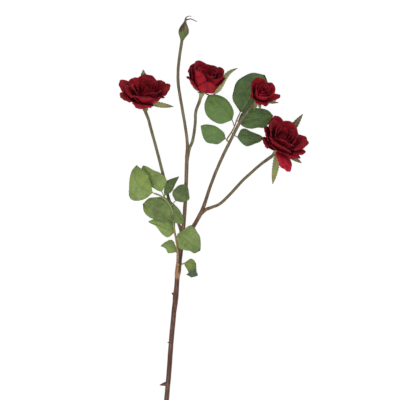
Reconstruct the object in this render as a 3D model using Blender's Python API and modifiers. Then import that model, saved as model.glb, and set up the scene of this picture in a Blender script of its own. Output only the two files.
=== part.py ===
"""A cut spray rose, lying down as it is laid on a table.

One cane forks to four open red blooms and a closed bud, and carries two compound leaves and a single leaflet.
Seen from above, +Y runs from the cut end of the cane to the bud, and +Z is up from the table.
Lengths in this file are millimetres and angles are degrees. MM turns a length into Blender's metres.
"""

import math
import random

import bmesh
import bpy
from mathutils import Matrix, Vector

MM = 0.001
GAP = 0.35  # clearance between two pieces that touch

PETAL_THICKNESS = 0.8
BLADE_THICKNESS = 0.8
SEPAL_THICKNESS = 0.8

# What lies on the table is pressed flat: the middle of a blade stays this far above it, and the little that
# is left below it is cut away, so that small flat spots carry the rose.
PRESSED_HEIGHT = 0.25
PRESS_SOFTNESS = 0.25

# Where the middle of the rose's box is in the places written below. Each finished solid is moved back by it.
MIDDLE_X = 2.0

# The stems, from the root end up: a tube runs through each route of (x, y, z, radius).
MAIN_STEM = (
    (-67.5, -284.4, 2.9, 3.4), (-66.2, -266.0, 4.3, 3.4), (-63.0, -230.0, 6.6, 3.35),
    (-60.4, -193.0, 8.6, 3.4), (-56.0, -146.0, 11.2, 3.4),
    (-54.4, -133.0, 12.0, 3.8), (-53.4, -121.0, 12.6, 3.9),
    (-52.1, -109.0, 13.2, 3.4), (-51.2, -96.0, 13.8, 3.5), (-50.3, -87.0, 14.3, 4.25),
    (-49.3, -79.0, 14.8, 4.1), (-48.2, -71.0, 15.1, 3.6),
    (-46.5, -58.0, 15.9, 3.3), (-43.6, -34.0, 17.0, 3.0), (-40.5, -1.0, 18.2, 2.6), (-38.6, 32.0, 18.8, 2.5),
    (-37.4, 69.0, 19.0, 2.6), (-36.5, 84.0, 19.0, 3.0), (-36.3, 95.0, 19.0, 2.2), (-38.1, 115.0, 19.0, 2.0),
    (-43.9, 150.0, 18.6, 2.0), (-49.2, 182.0, 17.8, 2.0), (-50.0, 203.0, 17.0, 2.0),
    (-47.9, 226.0, 14.8, 2.0),
    (-44.3, 249.0, 16.0, 2.1),
)
LEFT_STALK = (
    (-45.2, -52.0, 15.8, 2.2), (-44.6, -38.0, 14.4, 2.2), (-46.8, -24.0, 12.4, 2.1), (-53.0, -8.0, 10.4, 2.0),
    (-60.0, 8.0, 9.0, 2.0), (-65.2, 25.0, 7.8, 2.0), (-68.2, 39.0, 7.2, 2.0), (-73.2, 59.6, 6.6, 2.0),
    (-81.8, 92.5, 5.8, 2.0), (-89.6, 121.0, 5.4, 2.0), (-93.6, 136.0, 5.4, 2.0),
)
RIGHT_STEM = (
    (-44.6, -52.0, 16.2, 2.6), (-37.0, -36.0, 16.8, 2.7), (-23.0, -13.0, 17.8, 2.8), (-13.6, 6.0, 18.6, 2.6),
    (-4.3, 34.0, 20.0, 2.15), (4.5, 57.3, 21.2, 2.15), (14.7, 80.5, 22.0, 2.15), (26.1, 103.7, 22.2, 2.1),
    (39.6, 130.0, 21.6, 2.1), (48.0, 141.4, 21.2, 2.0),
)
RIGHT_STALK = (
    (-19.0, -5.0, 18.2, 2.4), (-10.0, 3.2, 18.2, 2.3), (0.0, 7.2, 17.6, 2.1), (10.2, 11.4, 16.6, 2.0),
    (22.5, 22.5, 14.6, 2.0), (44.1, 45.8, 10.4, 2.0), (56.9, 57.5, 8.2, 2.0), (70.1, 69.1, 6.6, 2.0),
)
TOP_STALK = (
    (-36.4, 78.0, 19.0, 2.4), (-33.4, 92.0, 18.6, 2.1), (-28.8, 104.0, 17.2, 2.0), (-25.2, 127.0, 13.2, 2.0),
    (-24.2, 146.0, 10.2, 2.0),
)

# Thorns and a bud scale on the cane: foot (x, y, z), tip (x, y, z), foot radius.
THORNS = (
    ((-62.8, -249.6, 5.8), (-77.0, -252.6, 6.2), 3.3),
    ((-59.2, -189.4, 8.8), (-65.8, -190.4, 9.2), 1.6),
    ((-53.6, -121.6, 12.8), (-59.6, -117.4, 13.4), 2.5),
)

# Each ring of petals at full size, from the heart outwards. The lean is the petal's angle from the bloom's
# axis at its claw, its belly and its rim; wrap is how tightly it bends round the axis, 1 being a circle.
RINGS = {
    "heart": {
        "count": 3, "length": 27, "half_width": 7, "lean": (38, 2, -6), "claw": (1.4, 1.6), "wrap": 1.0,
        "foot": 0.34, "spiral": 1.3, "ruffle": 0.2, "roll": 0.0, "rows": 2, "columns": 3,
    },
    "inner": {
        "count": 3, "length": 31, "half_width": 14, "lean": (64, 2, 14), "claw": (2.0, 1.8), "wrap": 1.0,
        "foot": 0.30, "spiral": 1.8, "ruffle": 0.4, "roll": 0.4, "rows": 2, "columns": 3,
    },
    "middle": {
        "count": 3, "length": 36, "half_width": 19, "lean": (76, 8, 36), "claw": (2.8, 2.0), "wrap": 1.08,
        "foot": 0.24, "spiral": 2.1, "ruffle": 0.7, "roll": 1.0, "rows": 2, "columns": 3,
    },
    "outer": {
        "count": 4, "length": 42, "half_width": 23, "lean": (84, 24, 58), "claw": (3.4, 1.9), "wrap": 1.12,
        "foot": 0.22, "spiral": 2.5, "ruffle": 1.0, "roll": 1.5, "rows": 3, "columns": 3,
    },
}
# How far each ring's petals are turned on from those of the ring inside it, and how much they differ.
RING_TURN = 137.5
SIDE_DRAW = 6.0
LEAN_DRAW = 4.0

# The solid middle of a bloom at full size, as (radius, height), and the cup under it, as (radius at full
# size, share of the neck's length below the seat).
HUB_PROFILE = ((0.0, 14.0), (4.6, 12.5), (8.6, 7.0), (8.2, 3.4), (5.0, 0.0), (0.0, 0.0))
CUP_PROFILE = ((0.0, 0.0), (4.0, 0.0), (4.6, 0.12), (4.2, 0.42), (2.9, 0.68), (2.3, 1.0), (0.0, 1.0))
SEPAL_CLAW = (3.0, 0.16)

# The blooms: the seat is the top of the calyx, the facing is the bloom's axis, and size is a share of full
# size. A side is an angle round the axis, 0 to the right and 90 on the far side, next to the table. The
# petals lean out more on the open side, and less all round where the bloom is closing. An outermost petal is
# (side, length, half width, lean), and a sepal is (side, lean at its foot, middle and tip, length, half
# width, how far its blade is twisted about its length).
BLOOMS = {
    "left": {
        "seat": (-96.4, 160.5, 15.5), "facing": (0.06, 0.85, 0.52), "size": 0.97, "neck": 13, "turn": 40,
        "seed": 5, "rows": 4, "rings": ("heart", "inner", "middle", "outer"),
        "open_side": (-90, 8), "closing": -3, "tall": 1.0, "pressed": 2.2,
        "petals": ((168, 47, 19, (84, 34, 60)), (13, 41, 19, (84, 30, 58)), (-156, 42, 17, (88, 50, 76)),
                   (-104, 33, 17, (90, 62, 108)), (-44, 33, 15, (88, 36, 52)), (42, 38, 20, (84, 30, 50)),
                   (132, 39, 19, (84, 28, 46))),
        "sepals": ((98, 88, 46, 30, 55, 9.0, 0), (-8, 98, 90, 88, 38, 3.8, -58),
                   (-92, 112, 120, 120, 17, 4.4, 0),
                   (168, 98, 92, 88, 22, 4.6, 0), (-150, 104, 108, 108, 14, 4.4, 0)),
    },
    "top": {
        "seat": (-14.2, 177.0, 13.5), "facing": (0.26, 0.86, 0.42), "size": 0.90, "neck": 16, "turn": 0,
        "seed": 11, "rows": 3, "rings": ("heart", "inner", "middle", "outer"),
        "open_side": (-90, 8), "closing": 30, "tall": 1.18, "pressed": 1.8,
        "petals": ((178, 38, 17, (86, 16, 14)), (-6, 38.2, 16.6, (86, 18, 20)), (90, 41, 20, (84, 14, 20)),
                   (46, 44, 16, (84, 16, 22)), (139, 42, 18, (84, 16, 18)), (-80, 37, 14, (92, 26, 20)),
                   (-150, 36, 13, (88, 38, 50))),
        "sepals": ((26, 90, 14, 62, 67, 4.8, -68), (96, 92, 50, 34, 50, 4.6, 0),
                   (-30, 98, 46, 32, 33, 2.2, 0),
                   (170, 96, 70, 60, 14, 4.2, 0), (-120, 104, 70, 60, 12, 3.6, 0)),
    },
    "small": {
        "seat": (66.0, 165.0, 30.0), "facing": (0.42, 0.58, 0.70), "size": 0.66, "neck": 9, "turn": 30,
        "seed": 23, "rows": 3, "rings": ("heart", "inner", "middle"), "open_side": (0, 6),
        "closing": 0, "tall": 1.0, "pressed": 0.25,
        "petals": ((175, 27, 12, (84, 24, 20)), (4, 30, 8, (84, 46, 62)), (45, 29, 13, (84, 32, 46)),
                   (104, 28, 16, (84, 26, 38)), (-118, 21, 12, (92, 50, 66)), (-76, 20, 12, (92, 46, 84))),
        "sepals": ((-6, 96, 68, 60, 30, 2.8, -30), (-100, 118, 112, 112, 17, 3.2, 0),
                   (-64, 116, 116, 116, 15, 3.0, 0),
                   (60, 96, 64, 50, 20, 3.4, 0), (150, 96, 64, 50, 15, 3.4, 0)),
    },
    "right": {
        "seat": (95.4, 94.5, 16.0), "facing": (0.42, 0.70, 0.58), "size": 0.97, "neck": 13, "turn": 111,
        "seed": 31, "rows": 4, "rings": ("heart", "inner", "middle", "outer"),
        "open_side": (-70, 12), "closing": 8, "tall": 1.03, "pressed": 1.8,
        "petals": ((180, 37, 18, (84, 38, 40)), (12, 41.5, 21, (84, 33, 54)), (-28, 39, 14, (86, 46, 66)),
                   (-47, 37, 12, (88, 56, 78)), (-100, 32, 19, (90, 50, 50)), (-155, 34, 13, (90, 58, 70)),
                   (117, 44, 16, (82, 26, 34)), (75, 39, 18, (84, 22, 30)), (-69, 43, 11.5, (92, 98, 103))),
        "sepals": ((64, 84, 42, 42, 67, 7.2, -31), (-17, 96, 92, 90, 39, 4.4, -53),
                   (-84, 118, 126, 126, 54, 5.4, 0),
                   (168, 96, 74, 64, 14, 4.6, 0), (110, 92, 62, 50, 30, 4.6, 0)),
    },
}

# What every outermost petal shares, at full size.
SKIRT = {
    "claw": (3.9, 1.7), "wrap": 1.22, "foot": 0.22, "spiral": 1.6, "ruffle": 1.2, "roll": 1.8, "rows": 3,
    "columns": 3,
}

# A compound leaf: its rachis as a route of (x, y, z, radius), then leaflets as (the point of the rachis that
# it grows from, foot, tip, how far its rib bows to the left, half widths of the left and of the right side at
# the WIDTH_PLACES, fold of each half, height of its arched back, roll about its length).
WIDTH_PLACES = (0.1, 0.3, 0.5, 0.7, 0.9)
UPPER_RACHIS = (
    (23.0, 102.3, 21.1, 1.1), (20.8, 104.2, 19.8, 1.1), (23.0, 109.0, 16.0, 1.1), (27.4, 115.6, 13.0, 1.05),
    (32.0, 124.0, 10.6, 1.0), (35.4, 134.0, 9.2, 1.0), (39.2, 142.4, 8.6, 0.95),
)
UPPER_LEAFLETS = (
    (4, (28.6, 133.8, 11.6), (-6.5, 169.5, 8.2), 0,
     (14, 20, 21.5, 19.5, 11.5), (9, 14, 15.5, 13.5, 8), -10, 2, 4),
    (1, (18.8, 106.6, 17.0), (-17.0, 125.0, 11.0), 0,
     (11, 14.8, 17, 14, 6), (6, 8.5, 9.5, 7.8, 4.5), -12, 2, -4),
    (3, (36.2, 108.8, 11.4), (74.0, 107.8, 7.6), 0,
     (11, 13, 9, 6.3, 3.5), (6, 12.5, 11.5, 8.3, 5), -12, 1.5, -10),
    (5, (37.4, 132.0, 8.4), (88.5, 140.6, 7.0), 0,
     (10.5, 15, 15.3, 13, 8), (8.5, 13.5, 13.6, 15, 8), -8, 1.5, -4),
    (6, (40.6, 145.6, 8.4), (76.5, 199.5, 7.0), 0,
     (18, 25.5, 28.5, 24.5, 15.5), (8, 14, 18, 17, 9), -7, 2, 3),
)
LOWER_RACHIS = (
    (-50.9, -73.0, 19.6, 1.3), (-50.8, -70.0, 19.7, 1.3), (-50.5, -61.0, 19.4, 1.25),
    (-50.9, -51.0, 18.9, 1.2),
    (-52.6, -41.0, 18.6, 1.15), (-54.8, -29.0, 18.4, 1.1), (-56.3, -17.0, 18.2, 1.05),
    (-57.0, -5.0, 18.0, 1.0),
    (-61.0, 8.0, 17.4, 1.0), (-69.0, 19.0, 17.0, 1.0), (-78.0, 24.6, 17.6, 0.95), (-84.6, 27.0, 18.4, 0.95),
)
LOWER_LEAFLETS = (
    (11, (-87.0, 28.0, 18.4), (-110.5, 68.0, 10.0), 11.7,
     (13, 23, 13, 7.5, 4), (12, 18, 20, 18.5, 12), -6, 6, -4),
    (9, (-73.5, 29.5, 14.5), (-101.0, 67.5, 6.0), 0,
     (4, 8, 12, 12, 8), (13, 16.5, 13.5, 8, 4), 0, 1.5, -6),
    (7, (-58.4, -3.4, 19.6), (-101.0, 11.5, 13.4), 0,
     (13, 14, 15.2, 14.2, 9), (13, 19.5, 18.5, 15, 10), -9, 2, 6),
    (5, (-55.0, -29.4, 16.8), (-93.0, -14.0, 12.4), 0,
     (9.5, 10.2, 6.5, 2, 1.4), (14, 18, 16, 11, 5), -6, 1, 10),
    (2, (-52.6, -58.0, 17.2), (-75.0, -49.6, 14.6), -4.1,
     (6, 9.2, 8.5, 5, 2), (3, 6.5, 10, 6.5, 2.5), -12, 0.5, 6),
    (4, (-49.8, -31.4, 22.2), (-17.6, -55.6, 23.2), 0,
     (19, 21, 18.5, 15, 6.5), (8, 15.5, 13.5, 9.5, 8), 3, 2, 4),
    (8, (-53.4, 16.4, 22.2), (-36.5, 38.5, 25.0), 0,
     (8, 11.5, 11, 10, 6), (8, 13, 14, 9.5, 4), 4, 1.5, 0),
    (9, (-69.6, 24.2, 15.6), (-48.8, 51.6, 13.6), 0,
     (4, 8, 10, 7, 2.5), (3.2, 5, 4, 2.2, 1.2), -18, 1, 8),
    (9, (-66.6, 17.4, 14.6), (-41.6, -17.0, 25.0), 0,
     (4, 6, 7, 6, 3.5), (7, 12, 14, 11, 6), -6, -1.5, -8),
)
SIDE_RACHIS = ((-44.33, -76.0, 15.4, 1.0), (-43.0, -75.2, 16.4, 1.0), (-41.4, -74.6, 16.9, 0.95))
SIDE_LEAFLETS = (
    (2, (-41.0, -74.5, 16.9), (-31.0, -95.3, 6.0), 5.4,
     (11.2, 11.6, 7.8, 6.6, 8.4), (2.9, 4.5, 4.8, 5.6, 7.6), -14, 5, 8),
)

# The bud stands on the end of the main stem: its foot, the way it points, its length and its greatest radius.
BUD_FOOT = (-44.3, 249.0, 16.0)
BUD_FACING = (0.16, 0.985, 0.06)
BUD_PROFILE = (
    (0.0, 31.4), (1.2, 31.2), (1.5, 28.5), (2.4, 26.0), (4.0, 22.8), (5.8, 19.4), (7.1, 16.2), (7.6, 13.0),
    (7.1, 9.6), (5.5, 6.4), (3.7, 3.4), (2.3, 0.0), (0.0, 0.0),
)
BUD_RIB = 0.07
BUD_TIPS = (
    ((0.4, 0.0, 26.0, 1.3), (1.4, 0.2, 30.4, 1.1), (4.4, 0.6, 31.4, 0.8), (7.4, 1.0, 32.6, 0.75),
     (11.4, 1.0, 31.8, 0.6), (17.2, 1.0, 30.2, 0.5)),
    ((0.2, 0.0, 27.0, 1.2), (0.4, 0.6, 33.2, 0.8), (4.4, 1.6, 36.2, 0.5), (8.0, 1.8, 36.4, 0.42)),
)

COLOURS = {
    "cane": ((0.130, 0.070, 0.045), 0.55),
    "petal": ((0.260, 0.006, 0.016), 0.75),
    "calyx": ((0.250, 0.300, 0.120), 0.60),
    "bud": ((0.170, 0.180, 0.070), 0.60),
    "leaf_dark": ((0.095, 0.170, 0.060), 0.50),
    "leaf_light": ((0.200, 0.290, 0.085), 0.55),
}

# Shares and limits of the formulas for petals, sepals and leaflets.
WIDEST = 0.66
RIM_ROUND = 0.26
RIM_TAPER = 0.14
LEAST_BEND = 1.6
MOST_TURN = 2.5
OUTERMOST = 4
SEPAL_TOOTH = 0.11
SEPAL_POINT = 3.8
TWISTED_BY = 0.5
SEPAL_FOLD = 0.22
LONG_SEPAL = 35
LEAF_TOOTH = 0.05
BROAD_LEAFLET = 30
STALK_ROWS = 1
STALK_HALF_WIDTH = 0.75
STRAIGHT_END = 4.0

PROFILE_STEPS = 24
SHARP_EDGE = 50
CURVE_WELD = 0.00001
WELD_DISTANCE = 0.000001
TABLE_CUTTER_SIZE = 700


def smooth_step(low, high, value):
    share = min(max((value - low) / (high - low), 0.0), 1.0)
    return share * share * (3.0 - 2.0 * share)


def pressed(height, floor):
    """The height of a soft blade's point, pressed up where the table stops it."""
    over = height - floor
    return floor + 0.5 * (over + math.sqrt(over * over + 4.0 * PRESS_SOFTNESS * PRESS_SOFTNESS))


def clear_scene():
    for item in list(bpy.data.objects):
        bpy.data.objects.remove(item, do_unlink=True)


def make_collection(name):
    collection = bpy.data.collections.new(name)
    bpy.context.scene.collection.children.link(collection)
    return collection


def make_material(name, colour, roughness):
    material = bpy.data.materials.new(name)
    material.use_nodes = True
    shader = material.node_tree.nodes["Principled BSDF"]
    shader.inputs["Base Color"].default_value = (*colour, 1.0)
    shader.inputs["Roughness"].default_value = roughness
    shader.inputs["Metallic"].default_value = 0.0
    return material


def add_object(name, mesh, collection):
    item = bpy.data.objects.new(name, mesh)
    collection.objects.link(item)
    return item


def flatten(item):
    """Give an object its evaluated mesh and drop its modifiers."""
    bpy.context.view_layer.update()
    depsgraph = bpy.context.evaluated_depsgraph_get()
    mesh = bpy.data.meshes.new_from_object(item.evaluated_get(depsgraph))
    item.modifiers.clear()
    item.data = mesh
    return item


def smooth_route(points, samples):
    """Points of a smooth curve through a route, with the radius carried along."""
    route = [Vector(point) for point in points]
    ends = [route[0] * 2 - route[1]] + route + [route[-1] * 2 - route[-2]]
    line = []
    for index in range(len(route) - 1):
        before, start, end, after = ends[index:index + 4]
        for sample in range(samples):
            t = sample / samples
            line.append(0.5 * (
                2 * start + (end - before) * t + (2 * before - 5 * start + 4 * end - after) * t ** 2
                + (3 * start - before - 3 * end + after) * t ** 3
            ))
    line.append(route[-1])
    return line


def add_tube(name, points, collection, samples=1, sides=1):
    """A closed tube through a route of (x, y, z, radius), from a bevelled curve, with 4 + 2 * sides sides."""
    line = smooth_route(points, samples)
    curve = bpy.data.curves.new(name, "CURVE")
    curve.dimensions = "3D"
    curve.bevel_depth = MM
    curve.bevel_resolution = sides
    curve.use_fill_caps = True
    spline = curve.splines.new("POLY")
    spline.points.add(len(line) - 1)
    for point, place in zip(spline.points, line):
        point.co = (place[0] * MM, place[1] * MM, place[2] * MM, 1.0)
        point.radius = place[3]
    bent = add_object(name + "_curve", curve, collection)
    bpy.context.view_layer.update()
    depsgraph = bpy.context.evaluated_depsgraph_get()
    mesh = bpy.data.meshes.new_from_object(bent.evaluated_get(depsgraph))
    solid = add_object(name, mesh, collection)
    solid.matrix_world = bent.matrix_world
    bpy.data.objects.remove(bent, do_unlink=True)
    weld = bmesh.new()
    weld.from_mesh(mesh)
    bmesh.ops.remove_doubles(weld, verts=weld.verts, dist=CURVE_WELD)
    bmesh.ops.recalc_face_normals(weld, faces=weld.faces)
    weld.to_mesh(mesh)
    weld.free()
    return solid


def add_blade(name, rows, columns, place, thickness, collection):
    """A thin closed blade: a grid of points place(t, a), split into triangles and then thickened."""
    grid = bmesh.new()
    corners = []
    for row in range(rows + 1):
        t = row / rows
        corners.append([
            grid.verts.new(place(t, -1.0 + 2.0 * column / columns) * MM) for column in range(columns + 1)
        ])
    for row in range(rows):
        for column in range(columns):
            near, next_near = corners[row][column], corners[row][column + 1]
            far, next_far = corners[row + 1][column], corners[row + 1][column + 1]
            if column < columns / 2:
                grid.faces.new((near, next_near, far))
                grid.faces.new((next_near, next_far, far))
            else:
                grid.faces.new((near, next_near, next_far))
                grid.faces.new((near, next_far, far))
    mesh = bpy.data.meshes.new(name)
    grid.to_mesh(mesh)
    grid.free()
    blade = add_object(name, mesh, collection)
    thicken = blade.modifiers.new("thickness", "SOLIDIFY")
    thicken.thickness = thickness * MM
    thicken.offset = 0.0
    return flatten(blade)


def add_turned(name, profile, frame, collection, steps=12):
    """A closed turned solid: a profile of (radius, height) from the top down, spun round the frame's axis."""
    outline = bmesh.new()
    rim = [outline.verts.new((radius * MM, 0.0, height * MM)) for radius, height in profile]
    for upper, lower in zip(rim, rim[1:]):
        outline.edges.new((upper, lower))
    mesh = bpy.data.meshes.new(name)
    outline.to_mesh(mesh)
    outline.free()
    turned = add_object(name, mesh, collection)
    spin = turned.modifiers.new("turn", "SCREW")
    spin.steps = steps
    spin.render_steps = steps
    spin.use_merge_vertices = True
    spin.merge_threshold = CURVE_WELD
    flatten(turned)
    shape = bmesh.new()
    shape.from_mesh(turned.data)
    shape.transform(Matrix.Translation(frame.to_translation() * MM) @ frame.to_3x3().to_4x4())
    bmesh.ops.recalc_face_normals(shape, faces=shape.faces)
    shape.to_mesh(turned.data)
    shape.free()
    return turned


def keep_largest(item):
    """Keep the largest body of a mesh: what fusing sealed is filled, and loose scraps are dropped."""
    shape = bmesh.new()
    shape.from_mesh(item.data)
    bmesh.ops.triangulate(shape, faces=shape.faces)
    bmesh.ops.remove_doubles(shape, verts=shape.verts, dist=WELD_DISTANCE)
    bmesh.ops.dissolve_degenerate(shape, edges=shape.edges, dist=WELD_DISTANCE)
    left = set(shape.faces)
    bodies = []
    while left:
        body = {left.pop()}
        front = list(body)
        while front:
            face = front.pop()
            for edge in face.edges:
                if len(edge.link_faces) != 2:
                    continue
                for other in edge.link_faces:
                    if other in left:
                        left.discard(other)
                        body.add(other)
                        front.append(other)
        bodies.append(body)
    largest = max(bodies, key=len)
    spare = [face for body in bodies if body is not largest for face in body]
    bmesh.ops.delete(shape, geom=spare, context="FACES")
    shape.to_mesh(item.data)
    shape.free()


def fuse(name, pieces, collection):
    """Join a list of closed pieces in one body by a union, and remove the pieces."""
    base, others = pieces[0], pieces[1:]
    joined = add_object(name, base.data.copy(), collection)
    bpy.data.objects.remove(base, do_unlink=True)
    loose = make_collection(name + "_pieces")
    for piece in others:
        for home in list(piece.users_collection):
            home.objects.unlink(piece)
        loose.objects.link(piece)
    union = joined.modifiers.new("join", "BOOLEAN")
    union.operation = "UNION"
    union.operand_type = "COLLECTION"
    union.collection = loose
    union.solver = "MANIFOLD"
    flatten(joined)
    for piece in others:
        bpy.data.objects.remove(piece, do_unlink=True)
    bpy.data.collections.remove(loose)
    keep_largest(joined)
    return joined


def cut_at_table(item, cutters):
    """Cut away what a piece has below the table, which leaves its small flat spots."""
    size = TABLE_CUTTER_SIZE * MM
    cube = bpy.data.meshes.new("table_cutter")
    box = bmesh.new()
    bmesh.ops.create_cube(box, size=size)
    bmesh.ops.translate(box, verts=box.verts, vec=(0.0, 0.0, -size / 2))
    box.to_mesh(cube)
    box.free()
    cutter = add_object("table_cutter", cube, cutters)
    cutter.hide_render = True
    cutter.display_type = "WIRE"
    cut = item.modifiers.new("table", "BOOLEAN")
    cut.operation = "DIFFERENCE"
    cut.object = cutter
    cut.solver = "MANIFOLD"
    flatten(item)
    bpy.data.objects.remove(cutter, do_unlink=True)
    keep_largest(item)


def finish(item, material):
    item.data.transform(Matrix.Translation((-MIDDLE_X * MM, 0.0, 0.0)))
    item.data.materials.clear()
    item.data.materials.append(material)
    item.data.shade_smooth()
    item.data.set_sharp_from_angle(angle=math.radians(SHARP_EDGE))


def bloom_frame(bloom):
    """The bloom's own frame: origin on the seat, Z axis along the facing, X axis to the right."""
    axis = Vector(bloom["facing"]).normalized()
    right = (Vector((1.0, 0.0, 0.0)) - axis * axis.x).normalized()
    up = axis.cross(right)
    frame = Matrix((right, up, axis)).transposed().to_4x4()
    frame.translation = Vector(bloom["seat"])
    return frame


def lean_at(lean, t):
    claw, belly, rim = lean
    return claw + (belly - claw) * smooth_step(0.08, 0.52, t) + (rim - belly) * smooth_step(0.55, 1.0, t)


def lean_profile(lean, length, claw):
    """The line up the middle of a petal or sepal, as (distance from the axis, height, lean) at even steps."""
    radius, height = claw
    line = [(radius, height, lean[0])]
    step = length / PROFILE_STEPS
    for index in range(PROFILE_STEPS):
        angle = math.radians(lean_at(lean, (index + 0.5) / PROFILE_STEPS))
        radius += step * math.sin(angle)
        height += step * math.cos(angle)
        line.append((radius, height, lean_at(lean, (index + 1) / PROFILE_STEPS)))
    return line


def profile_at(line, t):
    place = min(max(t, 0.0), 1.0) * PROFILE_STEPS
    index = min(int(place), PROFILE_STEPS - 1)
    share = place - index
    return [low + (high - low) * share for low, high in zip(line[index], line[index + 1])]


def petal_point(petal, line, t, a):
    """A point of a petal in its bloom's frame, t from claw to rim and a from edge to edge."""
    radius, height, lean = profile_at(line, t * (1.0 - RIM_ROUND * abs(a) ** 2.4))
    fan = petal["foot"] + (1.0 - petal["foot"]) * math.sin(math.pi / 2 * min(1.0, t / WIDEST)) ** 0.9
    half_width = petal["half_width"] * fan * (1.0 - RIM_TAPER * smooth_step(0.74, 1.0, t))
    bend = max(radius * petal["wrap"], LEAST_BEND)
    turn = max(min(a * half_width / bend, MOST_TURN), -MOST_TURN)
    lift = petal["ruffle"] * t ** 3 * math.sin(petal["waves"] * a + petal["phase"])
    lift += petal["roll"] * t ** 2 * abs(a) ** 3
    slope = math.radians(lean)
    out = radius - bend * (1.0 - math.cos(turn)) + lift * math.cos(slope)
    out += petal["spiral"] * a * min(1.0, 2.0 * t)
    side = bend * math.sin(turn)
    height -= lift * math.sin(slope)
    around = math.radians(petal["side"])
    return Vector((
        out * math.cos(around) - side * math.sin(around),
        out * math.sin(around) + side * math.cos(around),
        height,
    ))


def bloom_petals(name):
    """Every petal of a bloom: its rings with their seeded draws, and its own outermost petals."""
    bloom = BLOOMS[name]
    size = bloom["size"]
    draw = random.Random(bloom["seed"])
    open_side, opening = bloom["open_side"]
    petals = []
    for order, ring_name in enumerate(bloom["rings"]):
        ring = RINGS[ring_name]
        for index in range(ring["count"]):
            side = bloom["turn"] + 360.0 * index / ring["count"] + RING_TURN * order
            side += draw.uniform(-SIDE_DRAW, SIDE_DRAW)
            extra = opening * math.cos(math.radians(side - open_side)) - bloom["closing"]
            extra = extra * order / OUTERMOST + draw.uniform(-LEAN_DRAW, LEAN_DRAW)
            claw, belly, rim = ring["lean"]
            petals.append({
                "ring": ring_name, "side": side,
                "length": ring["length"] * size * bloom["tall"] * draw.uniform(0.94, 1.05),
                "half_width": ring["half_width"] * size * draw.uniform(0.95, 1.05),
                "lean": (claw, belly + extra, rim + 1.4 * extra),
                "claw": [size * value for value in ring["claw"]],
                "wrap": ring["wrap"], "foot": ring["foot"], "spiral": ring["spiral"] * size,
                "ruffle": ring["ruffle"] * size, "roll": ring["roll"] * size, "waves": draw.uniform(3.6, 5.4),
                "phase": draw.uniform(0.0, 6.28), "rows": ring["rows"], "columns": ring["columns"],
            })
    for side, length, half_width, lean in bloom["petals"]:
        petals.append({
            **SKIRT, "ring": "skirt", "side": side, "length": length, "half_width": half_width, "lean": lean,
            "claw": [size * value for value in SKIRT["claw"]], "spiral": SKIRT["spiral"] * size,
            "ruffle": SKIRT["ruffle"] * size, "roll": SKIRT["roll"] * size, "waves": draw.uniform(3.6, 5.4),
            "phase": draw.uniform(0.0, 6.28),
        })
    return petals


def build_petals(name, parts):
    bloom = BLOOMS[name]
    frame = bloom_frame(bloom)
    size = bloom["size"]
    lifted = frame @ Matrix.Translation((0.0, 0.0, GAP))
    profile = [(radius * size, height * size) for radius, height in HUB_PROFILE]
    pieces = [add_turned("hub", profile, lifted, parts, steps=6)]
    for index, petal in enumerate(bloom_petals(name)):
        line = lean_profile(petal["lean"], petal["length"], petal["claw"])

        def place(t, a):
            point = frame @ petal_point(petal, line, t, a)
            point.z = pressed(point.z, bloom["pressed"])
            return point

        rows = min(petal["rows"], bloom["rows"])
        pieces.append(add_blade(f"petal_{index}", rows, petal["columns"], place, PETAL_THICKNESS, parts))
    return fuse("petals_" + name, pieces, parts)


def sepal_point(sepal, line, t, a):
    """A point of a toothed, folded sepal in its bloom's frame."""
    side, half_width, twist, teeth = sepal
    radius, height, lean = profile_at(line, t)
    shape = min(1.0, 0.45 + 1.6 * t) * (1.0 - t ** SEPAL_POINT) + 0.06
    notch = 1.0 + (SEPAL_TOOTH if round(t * teeth) % 2 else -SEPAL_TOOTH)
    across = a * half_width * shape * notch
    slope = math.radians(lean)
    twisted = math.radians(twist) * min(1.0, t / TWISTED_BY)
    fold = across * math.sin(twisted) - SEPAL_FOLD * abs(across)
    across *= math.cos(twisted)
    out = radius + fold * math.cos(slope)
    height -= fold * math.sin(slope)
    around = math.radians(side)
    return Vector((
        out * math.cos(around) - across * math.sin(around),
        out * math.sin(around) + across * math.cos(around),
        height,
    ))


def build_calyx(name, parts):
    """The swollen cup under a bloom, with its neck and five sepals."""
    bloom = BLOOMS[name]
    frame = bloom_frame(bloom)
    size = bloom["size"]
    neck = bloom["neck"]
    cup = [(radius * size, -share * neck) for radius, share in CUP_PROFILE]
    claw = (SEPAL_CLAW[0] * size, -SEPAL_CLAW[1] * neck)
    pieces = [add_turned("cup", cup, frame, parts, steps=8)]
    for index, (side, foot, middle, tip, length, half_width, twist) in enumerate(bloom["sepals"]):
        line = lean_profile((foot, middle, tip), length, claw)
        rows = 5 if length > LONG_SEPAL else 4

        def place(t, a):
            point = frame @ sepal_point((side, half_width, twist, rows), line, t, a)
            point.z = pressed(point.z, PRESSED_HEIGHT)
            return point

        pieces.append(add_blade(f"sepal_{index}", rows, 2, place, SEPAL_THICKNESS, parts))
    return fuse("calyx_" + name, pieces, parts)


def stalk_end(name):
    """The last two points of the stalk that carries a bloom, in line with the bloom's axis."""
    bloom = BLOOMS[name]
    axis = Vector(bloom["facing"]).normalized()
    end = Vector(bloom["seat"]) - axis * (bloom["neck"] + GAP)
    before = end - axis * STRAIGHT_END
    radius = CUP_PROFILE[-2][0] * bloom["size"] + 0.1
    return ((*before, radius), (*end, radius))


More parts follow.
